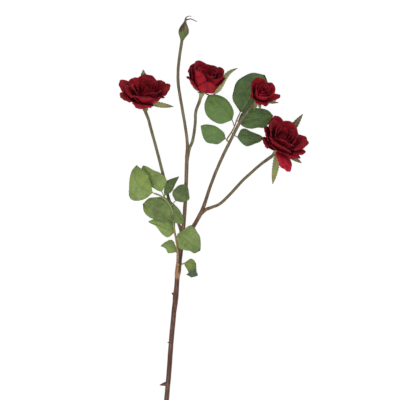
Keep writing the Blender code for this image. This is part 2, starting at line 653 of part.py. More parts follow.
def build_stem(parts):
    """The cane with its branches, stalks and thorns, grown as one piece."""
    pieces = [
        add_tube("main", MAIN_STEM, parts, sides=2),
        add_tube("left", LEFT_STALK + stalk_end("left"), parts),
        add_tube("right", RIGHT_STEM + stalk_end("small"), parts),
        add_tube("right_stalk", RIGHT_STALK + stalk_end("right"), parts),
        add_tube("top", TOP_STALK + stalk_end("top"), parts),
    ]
    for index, (foot, tip, radius) in enumerate(THORNS):
        middle = [0.5 * (low + high) for low, high in zip(foot, tip)]
        route = ((*foot, radius), (*middle, 0.5 * radius), (*tip, 0.12 * radius))
        pieces.append(add_tube(f"thorn_{index}", route, parts))
    return fuse("stem", pieces, parts)


def width_at(widths, t):
    """The half width of a leaflet's side at t, on a smooth line through its known half widths."""
    places = (0.0, *WIDTH_PLACES, 1.0)
    known = (STALK_HALF_WIDTH, *widths, STALK_HALF_WIDTH)
    index = min(sum(t >= place for place in places[1:-1]), len(places) - 2)
    slopes = []
    for at in (index, index + 1):
        low, high = max(at - 1, 0), min(at + 1, len(places) - 1)
        slopes.append((known[high] - known[low]) / (places[high] - places[low]))
    step = places[index + 1] - places[index]
    share = (t - places[index]) / step
    return max(STALK_HALF_WIDTH, (
        (2 * share ** 3 - 3 * share ** 2 + 1) * known[index]
        + (3 * share ** 2 - 2 * share ** 3) * known[index + 1]
        + (share ** 3 - 2 * share ** 2 + share) * step * slopes[0]
        + (share ** 3 - share ** 2) * step * slopes[1]
    ))


def leaflet_point(leaflet, row, a):
    """A point of a toothed leaflet: its narrow stalk, then a blade folded along its bowed rib."""
    if row < STALK_ROWS:
        joint, start = leaflet["joint"], leaflet["foot"]
        stalk = start - joint
        across = stalk.cross(Vector((0.0, 0.0, 1.0))).normalized()
        return joint + stalk * (row / STALK_ROWS) + across * a * STALK_HALF_WIDTH
    t = (row - STALK_ROWS) / leaflet["rows"]
    tooth = 1.0 + (LEAF_TOOTH if (row - STALK_ROWS) % 2 else -LEAF_TOOTH)
    reach = a * max(width_at(leaflet["sides"][a > 0], t) * tooth, STALK_HALF_WIDTH)
    lift = math.tan(math.radians(leaflet["fold"])) * abs(reach) + leaflet["arch"] * math.sin(math.pi * t)
    along = leaflet["tip"] - leaflet["foot"]
    bow = leaflet["across"] * 4.0 * leaflet["bow"]
    sideways = (along - bow * (1.0 - 2.0 * t)).cross(leaflet["upward"]).normalized()
    forward = 0.10 * abs(reach) * (1.0 - t)
    return (leaflet["foot"] + along * t - bow * t * (1.0 - t) + along.normalized() * forward
            + sideways * reach + leaflet["upward"] * lift)


def build_leaf(name, rachis, leaflets, parts):
    """A compound leaf: the rachis and the leaflets on it, each on a short stalk of its own."""
    pieces = [add_tube("rachis", rachis, parts)]
    for index, (joint, foot, tip, bow, left, right, fold, arch, roll) in enumerate(leaflets):
        along = Vector(tip) - Vector(foot)
        across = along.cross(Vector((0.0, 0.0, 1.0))).normalized()
        across = Matrix.Rotation(math.radians(roll), 3, along.normalized()) @ across
        leaflet = {
            "joint": Vector(rachis[joint][:3]), "foot": Vector(foot), "tip": Vector(tip), "across": across,
            "upward": across.cross(along).normalized(), "bow": bow, "sides": (left, right), "fold": fold,
            "arch": arch, "rows": 10 if max(left) + max(right) > BROAD_LEAFLET else 8,
        }
        rows = leaflet["rows"] + STALK_ROWS

        def place(t, a):
            return leaflet_point(leaflet, round(t * rows), a)

        pieces.append(add_blade(f"leaflet_{index}", rows, 2, place, BLADE_THICKNESS, parts))
    return fuse(name, pieces, parts)


def build_bud(parts):
    """The closed bud: a pointed body ribbed by its five folded sepals, and its long thin sepal tips."""
    axis = Vector(BUD_FACING).normalized()
    right = (Vector((1.0, 0.0, 0.0)) - axis * axis.x).normalized()
    frame = Matrix((right, axis.cross(right), axis)).transposed().to_4x4()
    frame.translation = Vector(BUD_FOOT) + axis * GAP
    body = add_turned("bud_body", BUD_PROFILE, Matrix.Identity(4), parts, steps=10)
    for corner in body.data.vertices:
        around = math.atan2(corner.co.y, corner.co.x)
        ribbed = 1.0 + BUD_RIB * math.cos(5.0 * around) * smooth_step(6.0, 11.0, corner.co.z / MM)
        point = Vector((corner.co.x * ribbed, corner.co.y * ribbed, corner.co.z)) / MM
        corner.co = (frame @ point) * MM
    pieces = [body]
    for index, tip in enumerate(BUD_TIPS):
        route = [(*(frame @ Vector(point[:3])), point[3]) for point in tip]
        pieces.append(add_tube(f"tip_{index}", route, parts, sides=0))
    return fuse("bud", pieces, parts)


def main():
    clear_scene()
    parts = make_collection("cut_rose")
    cutters = make_collection("cutters")
    materials = {name: make_material(name, *look) for name, look in COLOURS.items()}
    stem = build_stem(parts)
    cut_at_table(stem, cutters)
    finish(stem, materials["cane"])
    for name in BLOOMS:
        petals = build_petals(name, parts)
        cut_at_table(petals, cutters)
        finish(petals, materials["petal"])
        calyx = build_calyx(name, parts)
        cut_at_table(calyx, cutters)
        finish(calyx, materials["calyx"])
    finish(build_bud(parts), materials["bud"])
    finish(build_leaf("leaf_upper", UPPER_RACHIS, UPPER_LEAFLETS, parts), materials["leaf_dark"])
    finish(build_leaf("leaf_lower", LOWER_RACHIS, LOWER_LEAFLETS, parts), materials["leaf_light"])
    finish(build_leaf("leaf_side", SIDE_RACHIS, SIDE_LEAFLETS, parts), materials["leaf_light"])


main()
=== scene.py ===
"""The looks of a cut spray rose that lies on a pale table.

Lengths are millimetres and angles are degrees until a point goes into a mesh, where MM turns it into metres.
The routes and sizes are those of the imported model, so every fine piece lies where its plain solid lies. Only
what a material reads from a place is in metres.
"""

import random
from math import copysign, cos, degrees, exp, pi, radians, sin, sqrt, tan

import bmesh
import bpy
import numpy as np
from mathutils import Matrix, Vector, noise


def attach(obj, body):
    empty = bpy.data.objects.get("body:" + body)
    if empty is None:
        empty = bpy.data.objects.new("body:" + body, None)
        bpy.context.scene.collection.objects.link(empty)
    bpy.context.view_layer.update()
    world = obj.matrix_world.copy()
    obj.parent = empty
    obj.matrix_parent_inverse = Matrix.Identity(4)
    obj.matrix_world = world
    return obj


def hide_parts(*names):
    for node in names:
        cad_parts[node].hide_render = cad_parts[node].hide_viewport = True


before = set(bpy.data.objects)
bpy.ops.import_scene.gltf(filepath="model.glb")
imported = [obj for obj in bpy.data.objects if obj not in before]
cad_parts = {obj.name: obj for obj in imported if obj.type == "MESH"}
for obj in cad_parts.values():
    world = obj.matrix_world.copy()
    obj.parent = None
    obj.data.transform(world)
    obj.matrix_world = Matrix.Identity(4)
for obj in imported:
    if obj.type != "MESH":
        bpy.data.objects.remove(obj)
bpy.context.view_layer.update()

MM = 0.001
GAP = 0.35  # clearance between two pieces that touch

LOWEST = 0.03  # the height above the table that no point lies below
WELD = 0.0002  # points nearer than this are one point

# What lies on the table is pressed flat: the middle of a sepal stays about this far above it.
PRESSED_HEIGHT = 0.25
PRESS_SOFTNESS = 0.25

# Where the middle of the rose's box is in the places written below. Each piece is moved back by it.
MIDDLE_X = 2.0

# The stems, from the root end up: a tube runs through each route of (x, y, z, radius).
MAIN_STEM = (
    (-67.5, -284.4, 2.9, 3.4), (-66.2, -266, 4.3, 3.4), (-63, -230, 6.6, 3.35),
    (-60.4, -193, 8.6, 3.4), (-56, -146, 11.2, 3.4),
    (-54.4, -133, 12, 3.8), (-53.4, -121, 12.6, 3.9),
    (-52.1, -109, 13.2, 3.4), (-51.2, -96, 13.8, 3.5), (-50.3, -87, 14.3, 4.25),
    (-49.3, -79, 14.8, 4.1), (-48.2, -71, 15.1, 3.6),
    (-46.5, -58, 15.9, 3.3), (-43.6, -34, 17, 3), (-40.5, -1, 18.2, 2.6), (-38.6, 32, 18.8, 2.5),
    (-37.4, 69, 19, 2.6), (-36.5, 84, 19, 3), (-36.3, 95, 19, 2.2), (-38.1, 115, 19, 2),
    (-43.9, 150, 18.6, 2), (-49.2, 182, 17.8, 2), (-50, 203, 17, 2),
    (-47.9, 226, 14.8, 2),
    (-44.3, 249, 16, 2.1),
)
LEFT_STALK = (
    (-45.2, -52, 15.8, 2.2), (-44.6, -38, 14.4, 2.2), (-46.8, -24, 12.4, 2.1), (-53, -8, 10.4, 2),
    (-60, 8, 9, 2), (-65.2, 25, 7.8, 2), (-68.2, 39, 7.2, 2), (-73.2, 59.6, 6.6, 2),
    (-81.8, 92.5, 5.8, 2), (-89.6, 121, 5.4, 2), (-93.6, 136, 5.4, 2),
)
RIGHT_STEM = (
    (-44.6, -52, 16.2, 2.6), (-37, -36, 16.8, 2.7), (-23, -13, 17.8, 2.8), (-13.6, 6, 18.6, 2.6),
    (-4.3, 34, 20, 2.15), (4.5, 57.3, 21.2, 2.15), (14.7, 80.5, 22, 2.15), (26.1, 103.7, 22.2, 2.1),
    (39.6, 130, 21.6, 2.1), (48, 141.4, 21.2, 2),
)
RIGHT_STALK = (
    (-19, -5, 18.2, 2.4), (-10, 3.2, 18.2, 2.3), (0, 7.2, 17.6, 2.1), (10.2, 11.4, 16.6, 2),
    (22.5, 22.5, 14.6, 2), (44.1, 45.8, 10.4, 2), (56.9, 57.5, 8.2, 2), (70.1, 69.1, 6.6, 2),
)
TOP_STALK = (
    (-36.4, 78, 19, 2.4), (-33.4, 92, 18.6, 2.1), (-28.8, 104, 17.2, 2), (-25.2, 127, 13.2, 2),
    (-24.2, 146, 10.2, 2),
)

# Thorns and a bud scale on the cane: foot (x, y, z), tip (x, y, z), foot radius.
THORNS = (
    ((-62.8, -249.6, 5.8), (-77, -252.6, 6.2), 3.3),
    ((-59.2, -189.4, 8.8), (-65.8, -190.4, 9.2), 1.6),
    ((-53.6, -121.6, 12.8), (-59.6, -117.4, 13.4), 2.5),
)

# Each ring of petals at full size, from the heart outwards. The lean is the petal's angle from the bloom's
# axis at its claw, its belly and its rim; wrap is how tightly it bends round the axis, 1 being a circle.
RINGS = {
    "heart": dict(count=3, length=27, half_width=7, lean=(38, 2, -6), claw=(1.4, 1.6), wrap=1, foot=0.34,
                  spiral=1.3, ruffle=0.2, roll=0),
    "inner": dict(count=3, length=31, half_width=14, lean=(64, 2, 14), claw=(2, 1.8), wrap=1, foot=0.3,
                  spiral=1.8, ruffle=0.4, roll=0.4),
    "middle": dict(count=3, length=36, half_width=19, lean=(76, 8, 36), claw=(2.8, 2), wrap=1.08, foot=0.24,
                   spiral=2.1, ruffle=0.7, roll=1),
    "outer": dict(count=4, length=42, half_width=23, lean=(84, 24, 58), claw=(3.4, 1.9), wrap=1.12, foot=0.22,
                  spiral=2.5, ruffle=1, roll=1.5),
}
# What every outermost petal shares, at full size.
SKIRT = dict(claw=(3.9, 1.7), wrap=1.22, foot=0.22, spiral=1.6, ruffle=1.2, roll=1.8)

# How far each ring's petals are turned on from those of the ring inside it, and how much they differ.
RING_TURN = 137.5
SIDE_DRAW = 6.0
LEAN_DRAW = 4.0
LENGTH_DRAW = (0.94, 1.05)
WIDTH_DRAW = (0.95, 1.05)
WAVE_DRAW = (3.6, 5.4)
PHASE_DRAW = (0.0, 6.28)

# The solid middle of a bloom at full size, as (radius, height), and the cup under it, as (radius at full
# size, share of the neck's length below the seat).
HUB_PROFILE = ((0, 14), (4.6, 12.5), (8.6, 7), (8.2, 3.4), (5, 0), (0, 0))
CUP_PROFILE = ((0, 0), (4, 0), (4.6, 0.12), (4.2, 0.42), (2.9, 0.68), (2.3, 1), (0, 1))
SEPAL_CLAW = (3, 0.16)

# The blooms: the seat is the top of the calyx, the facing is the bloom's axis, size is a share of full size,
# neck is the cup's length and rings is how many of the rings it has. A side is an angle round the axis, 0 to
# the right and 90 on the far side, next to the table. The petals lean out more on the open side, and less
# all round where the bloom is closing. Tall stretches the rings, and pressed is how high the table holds the
# petals. An outermost petal is (side, length, half width, lean), and a sepal is (side, lean at its foot,
# middle and tip, length, half width, how far its blade is twisted about its length).
BLOOMS = {
    "left": dict(
        seat=(-96.4, 160.5, 15.5), facing=(0.06, 0.85, 0.52), size=0.97, neck=13, turn=40, seed=5, rings=4,
        open_side=(-90, 8), closing=-3, tall=1, pressed=2.2,
        petals=((168, 47, 19, (84, 34, 60)), (13, 41, 19, (84, 30, 58)), (-156, 42, 17, (88, 50, 76)),
                (-104, 33, 17, (90, 62, 108)), (-44, 33, 15, (88, 36, 52)), (42, 38, 20, (84, 30, 50)),
                (132, 39, 19, (84, 28, 46))),
        sepals=((98, 88, 46, 30, 55, 9, 0), (-8, 98, 90, 88, 38, 3.8, -58), (-92, 112, 120, 120, 17, 4.4, 0),
                (168, 98, 92, 88, 22, 4.6, 0), (-150, 104, 108, 108, 14, 4.4, 0)),
    ),
    "top": dict(
        seat=(-14.2, 177, 13.5), facing=(0.26, 0.86, 0.42), size=0.90, neck=16, turn=0, seed=11, rings=4,
        open_side=(-90, 8), closing=30, tall=1.18, pressed=1.8,
        petals=((178, 38, 17, (86, 16, 14)), (-6, 38.2, 16.6, (86, 18, 20)), (90, 41, 20, (84, 14, 20)),
                (46, 44, 16, (84, 16, 22)), (139, 42, 18, (84, 16, 18)), (-80, 37, 14, (92, 26, 20)),
                (-150, 36, 13, (88, 38, 50))),
        sepals=((26, 90, 14, 62, 67, 4.8, -68), (96, 92, 50, 34, 50, 4.6, 0), (-30, 98, 46, 32, 33, 2.2, 0),
                (170, 96, 70, 60, 14, 4.2, 0), (-120, 104, 70, 60, 12, 3.6, 0)),
    ),
    "small": dict(
        seat=(66, 165, 30), facing=(0.42, 0.58, 0.70), size=0.66, neck=9, turn=30, seed=23, rings=3,
        open_side=(0, 6), closing=0, tall=1, pressed=0.25,
        petals=((175, 27, 12, (84, 24, 20)), (4, 30, 8, (84, 46, 62)), (45, 29, 13, (84, 32, 46)),
                (104, 28, 16, (84, 26, 38)), (-118, 21, 12, (92, 50, 66)), (-76, 20, 12, (92, 46, 84))),
        sepals=((-6, 96, 68, 60, 30, 2.8, -30), (-100, 118, 112, 112, 17, 3.2, 0),
                (-64, 116, 116, 116, 15, 3, 0), (60, 96, 64, 50, 20, 3.4, 0), (150, 96, 64, 50, 15, 3.4, 0)),
    ),
    "right": dict(
        seat=(95.4, 94.5, 16), facing=(0.42, 0.70, 0.58), size=0.97, neck=13, turn=111, seed=31, rings=4,
        open_side=(-70, 12), closing=8, tall=1.03, pressed=1.8,
        petals=((180, 37, 18, (84, 38, 40)), (12, 41.5, 21, (84, 33, 54)), (-28, 39, 14, (86, 46, 66)),
                (-47, 37, 12, (88, 56, 78)), (-100, 32, 19, (90, 50, 50)), (-155, 34, 13, (90, 58, 70)),
                (117, 44, 16, (82, 26, 34)), (75, 39, 18, (84, 22, 30)), (-69, 43, 11.5, (92, 98, 103))),
        sepals=((64, 84, 42, 42, 67, 7.2, -31), (-17, 96, 92, 90, 39, 4.4, -53),
                (-84, 118, 126, 126, 54, 5.4, 0), (168, 96, 74, 64, 14, 4.6, 0),
                (110, 92, 62, 50, 30, 4.6, 0)),
    ),
}

# A compound leaf: its rachis as a route of (x, y, z, radius), then leaflets as (the point of the rachis that
# it grows from, foot, tip, how far its rib bows to the left, half widths of the left and of the right side at
# the WIDTH_PLACES, fold of each half, height of its arched back, roll about its length).
WIDTH_PLACES = (0.1, 0.3, 0.5, 0.7, 0.9)
UPPER_RACHIS = (
    (23, 102.3, 21.1, 1.1), (20.8, 104.2, 19.8, 1.1), (23, 109, 16, 1.1), (27.4, 115.6, 13, 1.05),
    (32, 124, 10.6, 1), (35.4, 134, 9.2, 1), (39.2, 142.4, 8.6, 0.95),
)
UPPER_LEAFLETS = (
    (4, (28.6, 133.8, 11.6), (-6.5, 169.5, 8.2), 0,
     (14, 20, 21.5, 19.5, 11.5), (9, 14, 15.5, 13.5, 8), -10, 2, 4),
    (1, (18.8, 106.6, 17), (-17, 125, 11), 0,
     (11, 14.8, 17, 14, 6), (6, 8.5, 9.5, 7.8, 4.5), -12, 2, -4),
    (3, (36.2, 108.8, 11.4), (74, 107.8, 7.6), 0,
     (11, 13, 9, 6.3, 3.5), (6, 12.5, 11.5, 8.3, 5), -12, 1.5, -10),
    (5, (37.4, 132, 8.4), (88.5, 140.6, 7), 0,
     (10.5, 15, 15.3, 13, 8), (8.5, 13.5, 13.6, 15, 8), -8, 1.5, -4),
    (6, (40.6, 145.6, 8.4), (76.5, 199.5, 7), 0,
     (18, 25.5, 28.5, 24.5, 15.5), (8, 14, 18, 17, 9), -7, 2, 3),
)
LOWER_RACHIS = (
    (-50.9, -73, 19.6, 1.3), (-50.8, -70, 19.7, 1.3), (-50.5, -61, 19.4, 1.25),
    (-50.9, -51, 18.9, 1.2),
    (-52.6, -41, 18.6, 1.15), (-54.8, -29, 18.4, 1.1), (-56.3, -17, 18.2, 1.05),
    (-57, -5, 18, 1),
    (-61, 8, 17.4, 1), (-69, 19, 17, 1), (-78, 24.6, 17.6, 0.95), (-84.6, 27, 18.4, 0.95),
)
LOWER_LEAFLETS = (
    (11, (-87, 28, 18.4), (-110.5, 68, 10), 11.7,
     (13, 23, 13, 7.5, 4), (12, 18, 20, 18.5, 12), -6, 6, -4),
    (9, (-73.5, 29.5, 14.5), (-101, 67.5, 6), 0,
     (4, 8, 12, 12, 8), (13, 16.5, 13.5, 8, 4), 0, 1.5, -6),
    (7, (-58.4, -3.4, 19.6), (-101, 11.5, 13.4), 0,
     (13, 14, 15.2, 14.2, 9), (13, 19.5, 18.5, 15, 10), -9, 2, 6),
    (5, (-55, -29.4, 16.8), (-93, -14, 12.4), 0,
     (9.5, 10.2, 6.5, 2, 1.4), (14, 18, 16, 11, 5), -6, 1, 10),
    (2, (-52.6, -58, 17.2), (-75, -49.6, 14.6), -4.1,
     (6, 9.2, 8.5, 5, 2), (3, 6.5, 10, 6.5, 2.5), -12, 0.5, 6),
    (4, (-49.8, -31.4, 22.2), (-17.6, -55.6, 23.2), 0,
     (19, 21, 18.5, 15, 6.5), (8, 15.5, 13.5, 9.5, 8), 3, 2, 4),
    (8, (-53.4, 16.4, 22.2), (-36.5, 38.5, 25), 0,
     (8, 11.5, 11, 10, 6), (8, 13, 14, 9.5, 4), 4, 1.5, 0),
    (9, (-69.6, 24.2, 15.6), (-48.8, 51.6, 13.6), 0,
     (4, 8, 10, 7, 2.5), (3.2, 5, 4, 2.2, 1.2), -18, 1, 8),
    (9, (-66.6, 17.4, 14.6), (-41.6, -17, 25), 0,
     (4, 6, 7, 6, 3.5), (7, 12, 14, 11, 6), -6, -1.5, -8),
)
SIDE_RACHIS = ((-44.33, -76, 15.4, 1), (-43, -75.2, 16.4, 1), (-41.4, -74.6, 16.9, 0.95))
SIDE_LEAFLETS = (
    (2, (-41, -74.5, 16.9), (-31, -95.3, 6), 5.4,
     (11.2, 11.6, 7.8, 6.6, 8.4), (2.9, 4.5, 4.8, 5.6, 7.6), -14, 5, 8),
)

# The bud stands on the end of the main stem: its foot, the way it points, its length and its greatest radius.
BUD_FOOT = (-44.3, 249, 16)
BUD_FACING = (0.16, 0.985, 0.06)
BUD_PROFILE = (
    (0, 31.4), (1.2, 31.2), (1.5, 28.5), (2.4, 26), (4, 22.8), (5.8, 19.4), (7.1, 16.2), (7.6, 13),
    (7.1, 9.6), (5.5, 6.4), (3.7, 3.4), (2.3, 0), (0, 0),
)
BUD_RIB = 0.07
BUD_TIPS = (
    ((0.4, 0, 26, 1.3), (1.4, 0.2, 30.4, 1.1), (4.4, 0.6, 31.4, 0.8), (7.4, 1, 32.6, 0.75),
     (11.4, 1, 31.8, 0.6), (17.2, 1, 30.2, 0.5)),
    ((0.2, 0, 27, 1.2), (0.4, 0.6, 33.2, 0.8), (4.4, 1.6, 36.2, 0.5), (8, 1.8, 36.4, 0.42)),
)

# Shares and limits of the formulas for petals, sepals and leaflets.
WIDEST = 0.66
RIM_ROUND = 0.26
RIM_TAPER = 0.14
LEAST_BEND = 1.6
MOST_TURN = 2.5
OUTERMOST = 4
SEPAL_POINT = 3.8
TWISTED_BY = 0.5
SEPAL_FOLD = 0.22
STRAIGHT_END = 4.0

PROFILE_STEPS = 24

# The camera looks straight down from this point. The view is this wide at the height of the rose's middle.
CAMERA_X, CAMERA_Y, CAMERA_HEIGHT = -18.1, 17.4, 2400.0
MIDDLE_HEIGHT = 20.0
VIEW_WIDTH = 580.0

# How fine the meshes are.
PETAL_ROWS = 30
PETAL_COLUMNS = 26
STEM_SIDES = 16
STEM_SAMPLES = 5
TURNED_SIDES = 40

# Thickness of a petal, a leaf and a sepal in its middle, and the share of it that is left at the rim.
PETAL_THICK = 0.55
LEAF_THICK = 0.5
SEPAL_THICK = 0.6
RIM_SHARE = 0.6

# The rolled rim of a petal, ring by ring: width of the rolled strip and how far it turns (radians).
RIM_ROLLS = {
    "heart": (2.0, 0.4), "inner": (2.6, 0.7), "middle": (3.0, 1.1), "outer": (3.2, 1.5), "skirt": (3.0, 1.7),
}
RIM_WAVE = 0.9
PETAL_CREASE = 0.8
PETAL_CRUMPLE = 0.3

# Cups and sepals: ribs and lumps as shares of the radius, and the saw teeth's depth as a share of the width.
CUP_RIB = 0.035
CUP_LUMPS = 0.02
SEPAL_TOOTH_PITCH = 4.2
SEPAL_TEETH = 0.17

# Leaflets: pairs of side veins, how many vein gaps a vein runs forward to the edge, the heights of their
# bends, crinkles, quilting and waved edge, and the saw teeth.
VEINS = 9
VEIN_SWEEP = 2.4
VEIN_BEND = 1.15
LEAF_BUCKLE = 1.1
LEAF_CRINKLE = 0.62
VEIN_RELIEF = 0.42
EDGE_WAVE = 0.9
BROAD_LEAFLET = 30.0
TOOTH_PITCH = 2.9
TOOTH_DEPTH = 0.85


def smooth_step(low, high, value):
    share = min(max((value - low) / (high - low), 0.0), 1.0)
    return share * share * (3.0 - 2.0 * share)


def pressed(height, floor):
    """The height of a soft blade's point, pressed up where the table stops it."""
    over = height - floor
    return floor + 0.5 * (over + sqrt(over * over + 4.0 * PRESS_SOFTNESS * PRESS_SOFTNESS))


def wobble(*place):
    """A smooth value between about -1 and 1 that is always the same at the same place."""
    return 1.6 * noise.noise(Vector(place))


def smooth_route(points, samples):
    """Points of a smooth curve through a route, with whatever each point carries after its place."""
    route = [np.array(point, float) for point in points]
    ends = [route[0] * 2 - route[1]] + route + [route[-1] * 2 - route[-2]]
    line = []
    for index in range(len(route) - 1):
        before, start, end, after = ends[index:index + 4]
        for sample in range(samples):
            t = sample / samples
            line.append(0.5 * (
                2 * start + (end - before) * t + (2 * before - 5 * start + 4 * end - after) * t ** 2
                + (3 * start - before - 3 * end + after) * t ** 3
            ))
    line.append(route[-1])
    return line


class Shell:
    """One piece while it is made: points, faces, and for each corner a place on its blade and two marks."""

    def __init__(self):
        self.points, self.faces, self.places, self.marks = [], [], [], []
        self.count = 0

    def add(self, points, faces, places, marks):
        self.points.append(points.reshape(-1, 3))
        self.faces.append(faces.reshape(-1, 4) + self.count)
        self.places.append(places.reshape(-1, 2))
        self.marks.append(marks.reshape(-1, 2))
        self.count += points.size // 3

    def build(self, name, material, nodes):
        points = np.concatenate(self.points) * MM
        points[:, 0] -= MIDDLE_X * MM
        points[:, 2] = np.maximum(points[:, 2], LOWEST * MM)
        faces = np.concatenate(self.faces)
        mesh = bpy.data.meshes.new(name)
        mesh.from_pydata(points.tolist(), [], faces.tolist())
        for layer_name, values in (("Blade", self.places), ("Marks", self.marks)):
            layer = mesh.uv_layers.new(name=layer_name)
            layer.data.foreach_set("uv", np.concatenate(values).astype(np.float32).ravel())
        weld = bmesh.new()
        weld.from_mesh(mesh)
        bmesh.ops.remove_doubles(weld, verts=weld.verts, dist=WELD * MM)
        bmesh.ops.recalc_face_normals(weld, faces=weld.faces)
        weld.to_mesh(mesh)
        weld.free()
        mesh.shade_smooth()
        mesh.materials.append(material)
        piece = bpy.data.objects.new(name, mesh)
        bpy.context.scene.collection.objects.link(piece)
        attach(piece, "root")
        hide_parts(*nodes)
        return piece


def lattice_faces(rows, columns):
    corner = np.arange((rows + 1) * (columns + 1)).reshape(rows + 1, columns + 1)
    corners = (corner[:-1, :-1], corner[:-1, 1:], corner[1:, 1:], corner[1:, :-1])
    return np.stack(corners, axis=-1).reshape(-1, 4)


def add_sheet(shell, rows, columns, place, thickness, outward, mark, edge=0.15):
    """A closed thin blade on points place(t, a). Its outer face looks along outward at its middle.

    Its second mark is 1 on the outer face, 0 on the other and 0.5 between them.
    """
    t_steps = np.linspace(0.0, 1.0, rows + 1)
    a_steps = np.linspace(-1.0, 1.0, columns + 1)
    lattice = np.array([[place(float(t), float(a)) for a in a_steps] for t in t_steps])
    normal = np.cross(np.gradient(lattice, axis=1), np.gradient(lattice, axis=0))
    normal /= np.maximum(np.linalg.norm(normal, axis=2, keepdims=True), 1e-9)
    if np.dot(normal[rows // 2, columns // 2], np.array(outward)) < 0.0:
        normal = -normal
    t, a = np.meshgrid(t_steps, a_steps, indexing="ij")
    margin = np.clip((1.0 - np.maximum(np.abs(a), t)) / edge, 0.0, 1.0)
    half = (0.5 * thickness * (RIM_SHARE + (1.0 - RIM_SHARE) * margin))[..., None]
    sheets = (lattice + normal * half, lattice - normal * half)
    both = np.concatenate([sheet.reshape(-1, 3) for sheet in sheets])
    spot = np.stack((0.5 + 0.5 * a, t), axis=-1).reshape(-1, 2)
    faces = lattice_faces(rows, columns)
    size = (rows + 1) * (columns + 1)
    corner = np.arange(size).reshape(rows + 1, columns + 1)
    border = np.concatenate((corner[0, :-1], corner[:-1, -1], corner[-1, :0:-1], corner[:0:-1, 0]))
    following = np.roll(border, -1)
    rim = np.stack((border, following, following + size, border + size), axis=-1)
    every = np.concatenate((faces, faces + size, rim))
    side = np.concatenate((np.full(faces.size, 1.0), np.zeros(faces.size), np.full(rim.size, 0.5)))
    shell.add(both, every, spot[every % size], np.stack((np.full(every.size, mark), side), axis=-1))


def add_rings(shell, rings, marks):
    """A closed tube on rings of points, each with its own marks. The first and last ring may be one point."""
    count, sides = rings.shape[0], rings.shape[1]
    wrapped = np.concatenate((rings, rings[:, :1]), axis=1)
    faces = lattice_faces(count - 1, sides)
    around, along = np.meshgrid(np.linspace(0.0, 1.0, sides + 1), np.linspace(0.0, 1.0, count))
    spot = np.stack((around, along), axis=-1).reshape(-1, 2)
    both = np.repeat(np.array(marks, float)[:, None, :], sides + 1, axis=1).reshape(-1, 2)
    shell.add(wrapped, faces, spot[faces], both[faces])


def add_tube(shell, route, tones, samples=STEM_SAMPLES, sides=STEM_SIDES, rough=0.05, seed=0.0):
    """A closed tube through a route of (x, y, z, radius), slightly uneven, with tones along it for its mark.

    Its second mark is 1 on the face at its start and 0 elsewhere.
    """
    line = np.array(smooth_route(route, samples))
    centre, radius = line[:, :3], line[:, 3]
    ahead = np.gradient(centre, axis=0)
    ahead /= np.linalg.norm(ahead, axis=1, keepdims=True)
    length = np.concatenate(([0.0], np.cumsum(np.linalg.norm(np.diff(centre, axis=0), axis=1))))
    across = np.cross(ahead[0], (0.0, 0.0, 1.0))
    rings = []
    for index, (point, direction) in enumerate(zip(centre, ahead)):
        across = across - direction * np.dot(across, direction)
        across /= np.linalg.norm(across)
        third = np.cross(direction, across)
        ring = []
        for step in range(sides):
            angle = 2.0 * pi * step / sides
            lump = wobble(1.3 * cos(angle) + seed, 1.3 * sin(angle), 0.16 * length[index])
            reach = radius[index] * (1.0 + rough * lump)
            ring.append(point + (across * cos(angle) + third * sin(angle)) * reach)
        rings.append(ring)
    rings = np.array(rings)
    first = np.repeat(centre[None, :1], sides, axis=1).reshape(1, sides, 3)
    last = np.repeat(centre[None, -1:], sides, axis=1).reshape(1, sides, 3)
    share = length / length[-1]
    tone = np.interp(share, np.linspace(0.0, 1.0, len(tones)), tones)
    marks = [(tones[0], 1.0)] * 2 + [(value, 0.0) for value in tone] + [(tones[-1], 0.0)]
    start = 0.5 * (rings[:1] - first) + first
    add_rings(shell, np.concatenate((first, start, rings, last)), marks)


def add_turned(shell, profile, place, mark, shape=None, sides=TURNED_SIDES, samples=5):
    """A closed turned solid on a profile of (radius, height) whose ends are on the axis."""
    line = smooth_route(profile, samples)
    rings = []
    for index, (radius, height) in enumerate(line):
        ring = []
        for step in range(sides):
            angle = 2.0 * pi * step / sides
            reach = max(radius, 0.0) * (shape(angle, height) if shape else 1.0)
            ring.append(place @ Vector((reach * cos(angle), reach * sin(angle), height)))
        rings.append(ring)
    rings[0] = [place @ Vector((0.0, 0.0, line[0][1]))] * sides
    rings[-1] = [place @ Vector((0.0, 0.0, line[-1][1]))] * sides
    add_rings(shell, np.array(rings), [(mark, 0.0)] * len(rings))


def standing_frame(foot, facing):
    """A frame with its origin on the foot, its Z axis along the facing and its X axis to the right."""
    axis = Vector(facing).normalized()
    right = (Vector((1.0, 0.0, 0.0)) - axis * axis.x).normalized()
    place = Matrix((right, axis.cross(right), axis)).transposed().to_4x4()
    place.translation = Vector(foot)
    return place


def round_axis(out, side, height, angle):
    """The point that lies so far out and to the side of a bloom's axis, turned about it."""
    around = radians(angle)
    return Vector((out * cos(around) - side * sin(around),
                   out * sin(around) + side * cos(around), height))


def lean_at(lean, t):
    claw, belly, rim = lean
    return claw + (belly - claw) * smooth_step(0.08, 0.52, t) + (rim - belly) * smooth_step(0.55, 1.0, t)


def lean_profile(lean, length, claw):
    """The line up the middle of a petal or sepal, as (distance from the axis, height, lean) at even steps."""
    radius, height = claw
    line = [(radius, height, lean[0])]
    step = length / PROFILE_STEPS
    for index in range(PROFILE_STEPS):
        angle = radians(lean_at(lean, (index + 0.5) / PROFILE_STEPS))
        radius += step * sin(angle)
        height += step * cos(angle)
        line.append((radius, height, lean_at(lean, (index + 1) / PROFILE_STEPS)))
    return line


def profile_at(line, t):
    place = min(max(t, 0.0), 1.0) * PROFILE_STEPS
    index = min(int(place), PROFILE_STEPS - 1)
    share = place - index
    return [low + (high - low) * share for low, high in zip(line[index], line[index + 1])]


